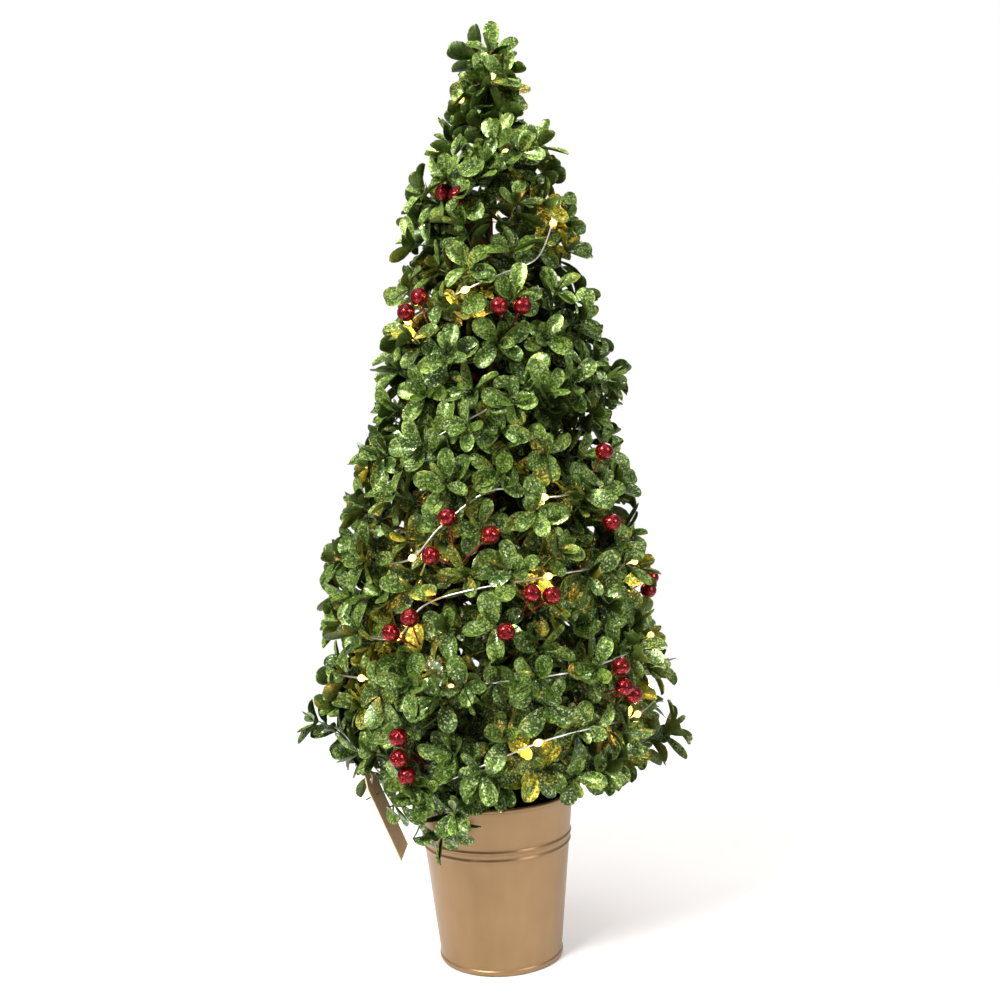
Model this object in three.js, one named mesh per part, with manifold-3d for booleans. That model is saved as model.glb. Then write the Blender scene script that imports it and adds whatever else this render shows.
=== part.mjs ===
// A pre-lit artificial tabletop tree: glittered boxwood sprays wired to a trunk that stands
// in a tapered metal pot, with red berry picks, a battery-powered string of small lights
// wound up it, and a card tag. Millimetres, +Z up, origin at the middle of the pot's foot.
import * as THREE from "three";
import { mergeVertices } from "three/addons/utils/BufferGeometryUtils.js";
import Module from "manifold-3d";

const wasm = await Module();
wasm.setup();

// ---- Driving dimensions -------------------------------------------------------------

const GAP = 0.3; // clear space between pieces that touch
const TURN = Math.PI / 180; // radians in a degree

const POT_HEIGHT = 112;
const POT_BASE_RADIUS = 40;
const POT_RIM_RADIUS = 52;
const POT_WALL = 0.8;
const POT_SIDES = 32;
const RIM_ROLL = 1.5; // radius of the rolled edge
const BEAD_HEIGHTS = [POT_HEIGHT - 35, POT_HEIGHT - 29.5]; // two raised rings round the pot
const BEAD_PROUD = 0.9;
const BEAD_HALF = 1.7;
const FOOT_BEAD = 3.6; // height of the crimped ring at the ground
const FOOT_PROUD = 0.9;
const BASE_THICKNESS = 0.8;

const FOAM_TOP = POT_HEIGHT - 11;
const TRUNK_DEPTH = 48; // how far the trunk is pushed into the foam
const BALLAST_TOP = FOAM_TOP - TRUNK_DEPTH - 11;
const TRUNK_SIDES = 10;
const TRUNK_FOOT_RADIUS = 5;
const TRUNK_TOP_RADIUS = 1.8;
const LEAN = 0.032; // how far the trunk goes to +X for each millimetre of height

const FOLIAGE_TOP = 604; // height of the topmost leaf's tip
const FOLIAGE_WIDEST = POT_HEIGHT + 86; // height at which the foliage is widest
const FOLIAGE_HEM = POT_HEIGHT - 28; // height of the lowest leaves, which hang over the rim
const FOLIAGE_RADIUS = 117;
const HEM_SHARE = 0.69; // radius at the hem, as a share of the widest
const CONE_POWER = 0.62; // 1 is a straight cone, and less is a rounder one
const TRUNK_TOP = FOLIAGE_TOP - 38;

const BRANCHES = 30;
const BRANCH_PHASE = 64; // azimuth of the first branch, in degrees
const BRANCH_TURN = 137.508; // degrees from one branch to the next one up
const BRANCH_LOW = POT_HEIGHT; // height of the lowest branch's patch of leaves
const BRANCH_HIGH = FOLIAGE_TOP - 30;
const STEM_RADIUS = 1.2;
const STEM_INSET = 32; // a stem ends this far inside the outline
const STEM_SHORTEST = 6; // but no nearer to the axis than this
const STEM_LOWEST = 17; // no stem leaves the trunk nearer to the foam than this
const RIM_AIR = 8; // a stem that ends beside the pot's rim clears it by this much
const LOW_ARCH = 10; // how far the lowest stems arch up to clear the rim
const BOX_DETOUR = 2.4; // a stem passes the battery box this many half widths out
const BOX_AIR = 40; // and one that starts this far above it needs no detour
const TWIG_RADIUS = 0.8;
const TWIGS_FROM = 0.42; // share of the stem that has no twigs
const TWIGS_OVER = 0.56; // share of it that they are spread over
const HEM_TO_TIP = 14; // lowest twig tip above the hem
const TOP_TO_TIP = 12; // highest twig tip below the top
const PATCH_RADIUS = 52; // each branch spreads its twigs over a round patch this big
const PATCH_TWIGS = 8; // twigs on a real branch
const TWIG_STEP = 2; // every second one is modelled as a solid
// Where a twig's tip may go when its own place is taken: degrees round, up, in.
const TIP_NUDGES = [
  [],
  [0, 0, 9],
  [9, 5],
  [-9, -5],
  [5, -11, 4],
  [-5, 11, 4],
  [14, 0, 8],
  [-14, 0, 8],
];
const LEAF_LENGTH = 20;
const LEAF_WIDTH = 11;
const LEAF_SPREAD = 60; // degrees between a leaf and its twig
const ROSETTE_LEAVES = 4;
const ROSETTE_NOTCH = 6; // how far out the leaves of a rosette part from each other
const ROSETTE_CROWN = 1.4; // half its thickness at the middle

// Two sprigs stand out of the outline: their branch, azimuth, height and how far out.
const STRAYS = [
  [1, 192, POT_HEIGHT + 54, 20],
  [2, -8, POT_HEIGHT + 38, 22],
];

const WIRE_RADIUS = 0.7;
const WIRE_INSET = 10; // the light string runs this far inside the foliage's outline
const WIRE_STEP = 17;
const BULB_RADIUS = 2.2;
const BULB_LENGTH = 6;

const BERRY_RADIUS = 5.6;
const BERRY_OUT = 0.6; // berry centres sit this far outside the foliage's outline
const PICK_RADIUS = 0.8;
const FORK_INSET = 26; // a pick forks this far inside the outline
const FORK_DROP = 10; // and this far below the middle of its berries
const PICK_RISE = 0.3; // its stem rises by this share of the outline's radius
const FORK_SHARE = 0.985; // its stalks start this far along its stem

const CELL_RADIUS = 7.15; // AA cells
const CELL_LENGTH = 50.5;
const CELL_NUB_RADIUS = 2.7;
const CELL_NUB = 1.3;
const CELL_CLEARANCE = 0.4;
const CONTACT_PLATE = 0.4;
const CONTACT_PLATE_HALF = 5;
const SPRING_ROOM = 4.5;
const SPRING_WIRE = 0.35;
const SPRING_TURNS = 2.5;
const SPRING_FOOT_RADIUS = 4;
const SPRING_TOP_RADIUS = 2.4;
const BOX_WALL = 1.8;
const BOX_FLOOR = 2;
const BOX_FROM_AXIS = 7.5; // front wall of the battery box, behind the trunk's axis
const DOOR_THICKNESS = 1.6;
const DOOR_CLEARANCE = 0.35;
const DOOR_TRAVEL = 30;
const DOOR_LIP = 1.4;
const RIDGES = 4; // ridges on the door for a thumb
const RIDGE_HALF = 8; // half their width
const RIDGE_PITCH = 3;
const RIDGE_PROUD = 0.8;
const SWITCH_TRAVEL = 3; // to each side
const SWITCH_POCKET = 3;
const SWITCH_FOOT = [8, 6.2]; // the slider's foot inside the pocket, along X and Y
const SWITCH_KNOB = [4, 2.8]; // and its knob in the slot
const SWITCH_PROUD = 1.8;
const LEAD_HOLE_RADIUS = 1.6;
const LEAD_STRAIGHT = 6; // length of the lead that stays in line with its hole
// The lead's bends over the side of the box: along X, along Y and up from its hole's top.
const LEAD_BENDS = [
  [0, 0, -3],
  [0, 0, 0],
  [0, 0, 3],
  [2, 0, 7],
  [9, 4, 12],
  [16, 28, -4],
  [2, 57, -34],
];
const LEAD_END = [32, 9, 7]; // and its last bend, from the first light

const TAG_WIDTH = 30;
const TAG_LENGTH = 57;
const TAG_THICKNESS = 0.8;
const TAG_CORNER = 7;
const TAG_HOLE_RADIUS = 2.2;
const TAG_HOLE_INSET = 6;
const TAG_SLANT = 22; // degrees from hanging straight down
const TAG_TURN = 4; // degrees that its width turns from +Y
const TAG_AZIMUTH = 203; // where it is tied, under a twig
const TAG_HEIGHT = POT_HEIGHT + 28;
const TAG_INSET = 21;
const TAG_AIR = 3; // least space between the swinging card and the pot
const TAG_KNOT_RADIUS = 2;
const TAG_KNOT_AIR = 0.9; // space between the knot and the twig above it, so that it can turn
const TAG_STRING_HALF = 1.6; // half the width of the string's loop
const TAG_BRANCH = 1; // the branch that it hangs from, counted from 0
const TAG_STRING_RADIUS = 0.6;
const TAG_LOOP = 12; // from the knot to the middle of the hole
const TAG_SWING_IN = 10;
const TAG_SWING_OUT = 45;

// Heights in the lists below are shares of the way from the pot's rim to the top leaf.
// The string's lights in order from the battery box: azimuth in degrees, going round and
// round from 0 at +X, then the height. A third value of 0 marks a bend with no light, and
// a fourth is how far the string stands out of its usual course.
const LIGHTS = [
  [-240, 0.022],
  [-190, 0.06],
  [-160, 0.105, 0],
  [-120, 0.045],
  [-105, 0.067, 0],
  [-76, 0.109],
  [-34, 0.118],
  [12, 0.122],
  [64, 0.13],
  [118, 0.142],
  [170, 0.16],
  [221, 0.182],
  [257, 0.182],
  [300, 0.19],
  [345, 0.206],
  [395, 0.218],
  [445, 0.226],
  [500, 0.232],
  [548, 0.238],
  [596, 0.236],
  [606, 0.275, 0],
  [650, 0.303],
  [701, 0.304],
  [748, 0.304],
  [797, 0.306],
  [850, 0.31],
  [905, 0.318],
  [959, 0.33],
  [970, 0.367, 0],
  [991, 0.409, 0],
  [1011, 0.397],
  [1036, 0.402],
  [1085, 0.41],
  [1145, 0.42],
  [1205, 0.43],
  [1265, 0.442],
  [1314, 0.462],
  [1354, 0.512],
  [1385, 0.534],
  [1440, 0.545],
  [1510, 0.56],
  [1580, 0.58],
  [1625, 0.602],
  [1654, 0.623],
  [1695, 0.655],
  [1719, 0.674, 0],
  [1742, 0.692, 0],
  [1769, 0.743],
  [1812, 0.756],
  [1876, 0.768],
  [1950, 0.782],
  [2020, 0.8],
  [2088, 0.832],
  [2160, 0.858],
  [2260, 0.886],
  [2360, 0.914],
  [2440, 0.938],
  [2510, 0.958, 1, 9],
];

// Each pick: its name, its azimuth, the height of its fork, and its berries, each as
// millimetres to the right as seen from outside, up and out from the fork.
const PICKS = [
  ["upper_front", -80, 0.612, [[-7, 9, 0], [7, 9, 0]]],
  ["upper_left", -137, 0.611, [[1, 10, 0], [8, 19, -2]]],
  ["middle_left", -106, 0.337, [[1, 21, 0], [-8, -1, 0], [27, 10, -2]]],
  ["middle_front", -80, 0.267, [[4, 10, 0], [16, 8, 0], [-12, -11, -1]]],
  ["lower_left", -121, 0.236, [[9, 13, 0], [-3, 4, 0]]],
  ["lower_right", -50, 0.168, [[2, -1, 0], [1, 11, 0], [13, -8, -2]]],
  ["rim_left", -118, 0.1, [[-1, 11, 0], [0, -1, 2], [3, -12, 0]]],
  ["right", -43, 0.4, [[5, 24, -2], [-2, -19, 0]]],
  ["high_left", -125, 0.776, [[-6, 4, -9], [7, 1, -9]]],
  ["right_back", 15, 0.26, [[-6, 5, 0], [6, 9, 0], [3, -5, 0]]],
  ["back", 76, 0.44, [[-6, 6, 0], [7, 8, 0]]],
  ["back_low", 131, 0.21, [[-7, 4, 0], [5, 9, 0], [0, -6, 1]]],
  ["left_back", 148, 0.61, [[-5, 7, 0], [6, 9, -2]]],
];

// ---- Colours ------------------------------------------------------------------------

function finish(color, roughness, metalness = 0) {
  return new THREE.MeshStandardMaterial({ color, roughness, metalness });
}

const FINISHES = {
  pot: finish(0xb48f64, 0.38, 1),
  ballast: finish(0xcfc8ba, 0.9),
  foam: finish(0x23281b, 0.95),
  trunk: finish(0x5a4028, 0.85),
  leaf: finish(0x4f7c36, 0.55),
  berry: finish(0xa5121c, 0.35),
  wire: finish(0xd8d6cc, 0.3, 1),
  blackPlastic: finish(0x1c1d1c, 0.5),
  cell: finish(0x2f6b45, 0.35),
  contact: finish(0xc9c7c0, 0.25, 1),
  card: finish(0xc39a70, 0.85),
  twine: finish(0xd9c7a3, 0.9),
};

// ---- Solid helpers ------------------------------------------------------------------

function solidOf(geometry) {
  const bare = geometry.clone();
  bare.deleteAttribute("normal");
  bare.deleteAttribute("uv");
  const merged = mergeVertices(bare, 1e-4);
  return new wasm.Manifold(
    new wasm.Mesh({
      numProp: 3,
      vertProperties: merged.attributes.position.array,
      triVerts: new Uint32Array(merged.index.array),
    }),
  );
}

function geometryOf(solid) {
  const mesh = solid.getMesh();
  return new THREE.BufferGeometry()
    .setAttribute("position", new THREE.BufferAttribute(mesh.vertProperties, 3))
    .setIndex(new THREE.BufferAttribute(mesh.triVerts, 1));
}

function join(geometries) {
  const solids = geometries.map(solidOf);
  return geometryOf(solids.reduce((whole, next) => whole.add(next)));
}

function cut(geometry, tools) {
  return geometryOf(
    tools.reduce((left, tool) => left.subtract(solidOf(tool)), solidOf(geometry)),
  );
}

// A box from its lowest to its highest corner.
function block(low, high) {
  const size = high.map((value, i) => value - low[i]);
  return new THREE.BoxGeometry(...size).translate(
    ...low.map((value, i) => value + size[i] / 2),
  );
}

// An upright cylinder from one height to another.
function post(x, y, radius, bottom, top, sides = 20) {
  return new THREE.CylinderGeometry(radius, radius, top - bottom, sides)
    .rotateX(Math.PI / 2)
    .translate(x, y, (bottom + top) / 2);
}

// A solid of revolution about Z from points of [radius, height], in either direction.
function revolve(outline, sides) {
  const area = outline.reduce((sum, [r, z], i) => {
    const [nextR, nextZ] = outline[(i + 1) % outline.length];
    return sum + r * nextZ - nextR * z;
  }, 0);
  const ordered = area > 0 ? outline : [...outline].reverse();
  const points = ordered.map(([r, z]) => new THREE.Vector2(r, z));
  const onAxis = ordered.some(([r]) => r === 0);
  if (!onAxis) points.push(points[0].clone());
  return new THREE.LatheGeometry(points, sides).rotateX(Math.PI / 2);
}

// A rod of the given number of sides that follows a curve.
function rod(curve, radius, sides, steps) {
  const section = new THREE.Shape(
    Array.from({ length: sides }, (_, i) => {
      const angle = (2 * Math.PI * i) / sides;
      return new THREE.Vector2(radius * Math.cos(angle), radius * Math.sin(angle));
    }),
  );
  return new THREE.ExtrudeGeometry(section, { steps, extrudePath: curve });
}

function named(name, geometry, material) {
  const mesh = new THREE.Mesh(geometry, material);
  mesh.name = name;
  return mesh;
}

// ---- The shape of the foliage ---------------------------------------------------------

// The same value between 0 and 1 each time for the same numbers.
function chance(a, b = 0, c = 0) {
  const value = Math.sin(a * 127.1 + b * 311.7 + c * 74.7) * 43758.5453;
  return value - Math.floor(value);
}

// Radius of the foliage's outline at a height.
function outlineRadius(z) {
  if (z >= FOLIAGE_WIDEST) {
    const left = Math.max(0, (FOLIAGE_TOP - z) / (FOLIAGE_TOP - FOLIAGE_WIDEST));
    return FOLIAGE_RADIUS * left ** CONE_POWER;
  }
  const below = (FOLIAGE_WIDEST - z) / (FOLIAGE_WIDEST - FOLIAGE_HEM);
  return FOLIAGE_RADIUS * (1 - (1 - HEM_SHARE) * below ** 3);
}

function heightAt(share) {
  return POT_HEIGHT + share * (FOLIAGE_TOP - POT_HEIGHT);
}

// The trunk leans, so everything on it is placed from its axis at that height.
function axisX(z) {
  return LEAN * (z - FOAM_TOP);
}

function place(azimuth, radius, z) {
  const x = axisX(z) + radius * Math.cos(azimuth * TURN);
  return new THREE.Vector3(x, radius * Math.sin(azimuth * TURN), z);
}

function trunkRadius(z) {
  const foot = FOAM_TOP - TRUNK_DEPTH;
  const share = (z - foot) / (TRUNK_TOP - foot);
  return TRUNK_FOOT_RADIUS + (TRUNK_TOP_RADIUS - TRUNK_FOOT_RADIUS) * share;
}

// ---- Room: what each piece leaves free for the others --------------------------------

const taken = []; // balls of space, each with the name of the piece in it

function take(owner, centre, radius) {
  taken.push({ owner, centre, radius });
}

function takeCurve(owner, curve, radius, step) {
  const count = Math.max(1, Math.ceil(curve.getLength() / step));
  for (let i = 0; i <= count; i++) take(owner, curve.getPointAt(i / count), radius);
}

function isFree(owner, centre, radius) {
  if (inPotRoom(centre, radius) || inBoxRoom(centre, radius)) return false;
  if (inTrunkRoom(centre, radius)) return false;
  return taken.every(
    (ball) =>
      ball.owner === owner || ball.centre.distanceTo(centre) > ball.radius + radius,
  );
}

// The pot and a little air round its rim.
function inPotRoom(point, radius) {
  const air = 2 + radius;
  const fromAxis = Math.hypot(point.x, point.y);
  return point.z < POT_HEIGHT + air && fromAxis < POT_RIM_RADIUS + RIM_ROLL + air;
}

function inTrunkRoom(point, radius) {
  const fromAxis = Math.hypot(point.x - axisX(point.z), point.y);
  const above = point.z > TRUNK_TOP + radius + GAP;
  return !above && fromAxis < trunkRadius(point.z) + radius + GAP;
}

// The battery box, with the way its door goes.
function inBoxRoom(point, radius) {
  const air = 2 + radius;
  return (
    Math.abs(point.x) < boxHalfWidth + air &&
    point.y > BOX_FROM_AXIS - air &&
    point.y < BOX_FROM_AXIS + boxDepth + air &&
    point.z < boxBottom + boxHeight + DOOR_TRAVEL + air
  );
}

// ---- Pot ----------------------------------------------------------------------------

function potRadius(z) {
  return POT_BASE_RADIUS + ((POT_RIM_RADIUS - POT_BASE_RADIUS) * z) / POT_HEIGHT;
}

function potShell() {
  const outside = [
    [potRadius(0), 0],
    [potRadius(0) + FOOT_PROUD, FOOT_BEAD * 0.2],
    [potRadius(0) + FOOT_PROUD, FOOT_BEAD * 0.8],
    [potRadius(FOOT_BEAD), FOOT_BEAD],
  ];
  for (const z of BEAD_HEIGHTS) {
    outside.push([potRadius(z - BEAD_HALF), z - BEAD_HALF]);
    outside.push([potRadius(z) + BEAD_PROUD, z]);
    outside.push([potRadius(z + BEAD_HALF), z + BEAD_HALF]);
  }
  const rollCentre = [POT_RIM_RADIUS, POT_HEIGHT - RIM_ROLL];
  for (let angle = -60; angle <= 180; angle += 60) {
    outside.push([
      rollCentre[0] + RIM_ROLL * Math.cos(angle * TURN),
      rollCentre[1] + RIM_ROLL * Math.sin(angle * TURN),
    ]);
  }
  const inside = [
    [potRadius(POT_HEIGHT - 2 * RIM_ROLL) - POT_WALL, POT_HEIGHT - 2 * RIM_ROLL],
    [potRadius(0) - POT_WALL, 0],
  ];
  return revolve([...outside, ...inside], POT_SIDES);
}

// Radius that fits inside the pot's wall, flat sides included, with a gap.
function roomInPot(z) {
  return (potRadius(z) - POT_WALL) * Math.cos(Math.PI / POT_SIDES) - GAP;
}

function plugInPot(bottom, top) {
  const outline = [
    [0, bottom],
    [roomInPot(bottom), bottom],
    [roomInPot(top), top],
    [0, top],
  ];
  return revolve(outline, POT_SIDES);
}

function leaningPost(radiusAt, bottom, top, sides) {
  const shear = new THREE.Matrix4().set(
    1, 0, LEAN, -LEAN * FOAM_TOP,
    0, 1, 0, 0,
    0, 0, 1, 0,
    0, 0, 0, 1,
  );
  const outline = [
    [0, bottom],
    [radiusAt(bottom), bottom],
    [radiusAt(top), top],
    [0, top],
  ];
  return revolve(outline, sides).applyMatrix4(shear);
}

function foamPlug() {
  const foot = FOAM_TOP - TRUNK_DEPTH;
  const hole = (z) => trunkRadius(z) + GAP;
  const bore = leaningPost(hole, foot - GAP, FOAM_TOP + 1, TRUNK_SIDES);
  return cut(plugInPot(BALLAST_TOP + GAP, FOAM_TOP), [bore]);
}

function addPot(tree) {
  tree.add(named("pot_shell", potShell(), FINISHES.pot));
  tree.add(named("pot_base", plugInPot(0, BASE_THICKNESS), FINISHES.pot));
  const ballast = plugInPot(BASE_THICKNESS + GAP, BALLAST_TOP);
  tree.add(named("ballast", ballast, FINISHES.ballast));
  tree.add(named("foam_plug", foamPlug(), FINISHES.foam));
}

function addTrunk(tree) {
  const trunk = leaningPost(trunkRadius, FOAM_TOP - TRUNK_DEPTH, TRUNK_TOP, TRUNK_SIDES);
  tree.add(named("trunk", trunk, FINISHES.trunk));
}

// ---- Battery box ----------------------------------------------------------------------

const cellOffset = CELL_RADIUS + CELL_CLEARANCE;
const bayHalfWidth = 2 * cellOffset;
const bayDepth = 2 * cellOffset;
const plateRoom = CONTACT_PLATE + 2 * GAP;
const bayHeight = CELL_LENGTH + SPRING_ROOM + plateRoom;
const doorHalfWidth = bayHalfWidth + DOOR_LIP;
const boxHalfWidth = doorHalfWidth + DOOR_CLEARANCE + BOX_WALL;
const doorRoom = DOOR_THICKNESS + 2 * DOOR_CLEARANCE;
const boxDepth = BOX_WALL + bayDepth + doorRoom + DOOR_LIP;
const boxHeight = BOX_FLOOR + bayHeight + BOX_WALL + SWITCH_POCKET + BOX_WALL;
const boxBottom = FOAM_TOP + GAP;
const bayBack = BOX_WALL + bayDepth;
const bayMiddle = BOX_WALL + bayDepth / 2;
const leadHoleX = boxHalfWidth - BOX_WALL - LEAD_HOLE_RADIUS - 2;

// A block of the given size along X and Y, widened, in the middle of the box.
function middleBlock([alongX, alongY], wider, deeper, low, high) {
  const halfX = alongX / 2 + wider;
  const halfY = alongY / 2 + deeper;
  return block([-halfX, bayMiddle - halfY, low], [halfX, bayMiddle + halfY, high]);
}

// The pieces below are drawn with the box's front wall at y 0 and its foot at z 0.
function batteryBox() {
  const top = boxHeight;
  const bayTop = BOX_FLOOR + bayHeight;
  const slotHalf = doorHalfWidth + DOOR_CLEARANCE;
  const mouthHalf = doorHalfWidth - DOOR_LIP;
  const pocketTop = top - BOX_WALL;
  const past = 1; // cuts run this far past the faces that they open
  const travel = SWITCH_TRAVEL + GAP;
  const body = block([-boxHalfWidth, 0, 0], [boxHalfWidth, boxDepth, top]);
  return cut(body, [
    block([-bayHalfWidth, BOX_WALL, BOX_FLOOR], [bayHalfWidth, bayBack + past, bayTop]),
    block([-slotHalf, bayBack, BOX_FLOOR], [slotHalf, bayBack + doorRoom, top + past]),
    block([-mouthHalf, bayBack, BOX_FLOOR], [mouthHalf, boxDepth + past, top + past]),
    middleBlock(SWITCH_FOOT, travel, GAP, pocketTop - SWITCH_POCKET, pocketTop),
    middleBlock(SWITCH_KNOB, travel, GAP, pocketTop - past, top + past),
    post(leadHoleX, bayMiddle, LEAD_HOLE_RADIUS, bayTop - past, top + past, 8),
  ]);
}

function batteryDoor() {
  const low = bayBack + DOOR_CLEARANCE;
  const high = low + DOOR_THICKNESS;
  const pieces = [
    block([-doorHalfWidth, low, BOX_FLOOR + GAP], [doorHalfWidth, high, boxHeight]),
  ];
  for (let i = 0; i < RIDGES; i++) {
    const top = boxHeight - RIDGE_HALF - RIDGE_PITCH * i;
    pieces.push(
      block([-RIDGE_HALF, high - 0.2, top - 1], [RIDGE_HALF, high + RIDGE_PROUD, top]),
    );
  }
  return join(pieces);
}

function switchSlider() {
  const pocketTop = boxHeight - BOX_WALL;
  const low = pocketTop - SWITCH_POCKET + GAP;
  return join([
    middleBlock(SWITCH_FOOT, 0, 0, low, pocketTop - GAP),
    middleBlock(SWITCH_KNOB, 0, 0, low, boxHeight + SWITCH_PROUD),
  ]);
}

// An upright cell whose positive end is up or down, with its lower end at the height.
function cell(x, bottom, positiveUp) {
  const bodyLow = positiveUp ? bottom : bottom + CELL_NUB;
  const bodyHigh = bodyLow + CELL_LENGTH - CELL_NUB;
  const nubLow = positiveUp ? bodyHigh - 1 : bottom;
  const nubHigh = positiveUp ? bodyHigh + CELL_NUB : bodyLow + 1;
  return join([
    post(x, bayMiddle, CELL_RADIUS, bodyLow, bodyHigh),
    post(x, bayMiddle, CELL_NUB_RADIUS, nubLow, nubHigh, 10),
  ]);
}

class SpringCurve extends THREE.Curve {
  constructor(x, low, high) {
    super();
    this.foot = [x, low];
    this.rise = high - low;
  }
  getPoint(t, target = new THREE.Vector3()) {
    const angle = t * SPRING_TURNS * 2 * Math.PI;
    const radius = THREE.MathUtils.lerp(SPRING_FOOT_RADIUS, SPRING_TOP_RADIUS, t);
    return target.set(
      this.foot[0] + radius * Math.cos(angle),
      bayMiddle + radius * Math.sin(angle),
      this.foot[1] + this.rise * t,
    );
  }
}

function contactSpring(x, low, high) {
  const curve = new SpringCurve(x, low + SPRING_WIRE, high - SPRING_WIRE);
  return rod(curve, SPRING_WIRE, 3, 18);
}

function contactPlate(x, low) {
  return block(
    [x - CONTACT_PLATE_HALF, bayMiddle - CONTACT_PLATE_HALF, low],
    [x + CONTACT_PLATE_HALF, bayMiddle + CONTACT_PLATE_HALF, low + CONTACT_PLATE],
  );
}

function addBatteryBox(tree) {
  const box = new THREE.Group();
  box.position.set(0, BOX_FROM_AXIS, boxBottom);
  const floor = BOX_FLOOR;
  const ceiling = BOX_FLOOR + bayHeight;
  const left = -cellOffset;
  const right = cellOffset;
  const add = (name, geometry, material) => box.add(named(name, geometry, material));
  add("battery_box", batteryBox(), FINISHES.blackPlastic);
  add("battery_door", batteryDoor(), FINISHES.blackPlastic);
  add("switch_slider", switchSlider(), FINISHES.blackPlastic);
  add("cell_1", cell(left, floor + SPRING_ROOM, true), FINISHES.cell);
  add("cell_2", cell(right, floor + plateRoom, false), FINISHES.cell);
  const springHigh = floor + SPRING_ROOM - GAP;
  add("contact_spring_1", contactSpring(left, floor + GAP, springHigh), FINISHES.contact);
  const springLow = ceiling - SPRING_ROOM + GAP;
  add("contact_spring_2", contactSpring(right, springLow, ceiling - GAP), FINISHES.contact);
  const plateHigh = ceiling - GAP - CONTACT_PLATE;
  add("contact_plate_1", contactPlate(left, plateHigh), FINISHES.contact);
  add("contact_plate_2", contactPlate(right, floor + GAP), FINISHES.contact);
  tree.add(box);
}

// ---- Light string ---------------------------------------------------------------------

function lightPoint([azimuth, share, , out = 0]) {
  const z = heightAt(share);
  return place(azimuth, outlineRadius(z) - WIRE_INSET + out, z);
}

// Out of the hole in the battery box's top, over its side and down to the first light.
function leadPoints() {
  const hole = new THREE.Vector3(leadHoleX, BOX_FROM_AXIS + bayMiddle, boxBottom + boxHeight);
  const bends = LEAD_BENDS.map((bend) => new THREE.Vector3(...bend).add(hole));
  const end = new THREE.Vector3(...LEAD_END).add(lightPoint(LIGHTS[0]));
  return [...bends, end];
}

function stringCurve() {
  const points = [...leadPoints(), ...LIGHTS.map(lightPoint)];
  const curve = new THREE.CatmullRomCurve3(points, false, "centripetal");
  curve.arcLengthDivisions = 2000;
  return curve;
}

// The string's curve, with its own choice of places for the steps of a rod along it.
class SteppedCurve extends THREE.Curve {
  constructor(curve, shares) {
    super();
    this.curve = curve;
    this.shares = shares;
  }
  getUtoTmapping(u) {
    return u;
  }
  getPoint(t, target) {
    const last = this.shares.length - 1;
    const i = Math.min(Math.floor(t * last), last - 1);
    const share = THREE.MathUtils.lerp(this.shares[i], this.shares[i + 1], t * last - i);
    return this.curve.getPointAt(Math.min(1, share), target);
  }
}

// How far along the curve each light is, as shares of its length.
function bulbShares(curve) {
  const count = Math.round(curve.getLength());
  const points = curve.getSpacedPoints(count);
  const lights = LIGHTS.filter((light) => light[2] !== 0);
  return lights.map((light) => {
    const wanted = lightPoint(light);
    const distances = points.map((point) => point.distanceTo(wanted));
    return distances.indexOf(Math.min(...distances)) / count;
  });
}

// Steps at each light and at its two ends, and evenly between one light and the next.
function stringShares(curve, bulbs) {
  const length = curve.getLength();
  const half = BULB_LENGTH / 2 / length;
  const shares = [0];
  let from = LEAD_STRAIGHT / length;
  for (const bulb of [...bulbs, 1 + half]) {
    const to = bulb - half;
    const count = Math.max(1, Math.round(((to - from) * length) / WIRE_STEP));
    for (let i = 0; i <= count; i++) shares.push(from + ((to - from) * i) / count);
    if (bulb <= 1) shares.push(bulb);
    from = bulb + half;
  }
  return shares;
}

// The wire is drawn out to a bead of resin at each light.
function swellAt(geometry, centres) {
  const position = geometry.attributes.position;
  const corner = new THREE.Vector3();
  for (let i = 0; i < position.count; i++) {
    corner.fromBufferAttribute(position, i);
    const centre = centres.find((c) => c.distanceTo(corner) < 1.2 * WIRE_RADIUS);
    if (!centre) continue;
    corner.sub(centre).multiplyScalar(BULB_RADIUS / WIRE_RADIUS).add(centre);
    position.setXYZ(i, corner.x, corner.y, corner.z);
  }
  return geometry;
}

function addLightString(tree) {
  const curve = stringCurve();
  const bulbs = bulbShares(curve);
  const centres = bulbs.map((share) => curve.getPointAt(share));
  centres.forEach((centre) => take("light_string", centre, BULB_RADIUS));
  takeCurve("light_string", curve, WIRE_RADIUS + 0.4, 3);
  const shares = stringShares(curve, bulbs);
  const wire = rod(new SteppedCurve(curve, shares), WIRE_RADIUS, 3, shares.length - 1);
  tree.add(named("light_string", swellAt(wire, centres), FINISHES.wire));
}

// ---- Berry picks ------------------------------------------------------------------------

// A point near the foliage's outline, from millimetres right, up and out of another.
function onOutline(azimuth, z, right, up, out) {
  const height = z + up;
  const radius = outlineRadius(height);
  return place(azimuth + right / radius / TURN, radius + out, height);
}

function pickFork(azimuth, z) {
  return place(azimuth, outlineRadius(z) - FORK_INSET, z - FORK_DROP);
}

function pickStem(azimuth, z) {
  const fork = pickFork(azimuth, z);
  const rise = PICK_RISE * outlineRadius(z);
  const start = fork.z - rise;
  const reach = outlineRadius(z) - FORK_INSET;
  const middle = place(azimuth, 0.45 * reach, fork.z - 0.75 * rise);
  const foot = place(azimuth, trunkRadius(start) + GAP + PICK_RADIUS, start);
  return new THREE.QuadraticBezierCurve3(foot, middle, fork);
}

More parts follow.
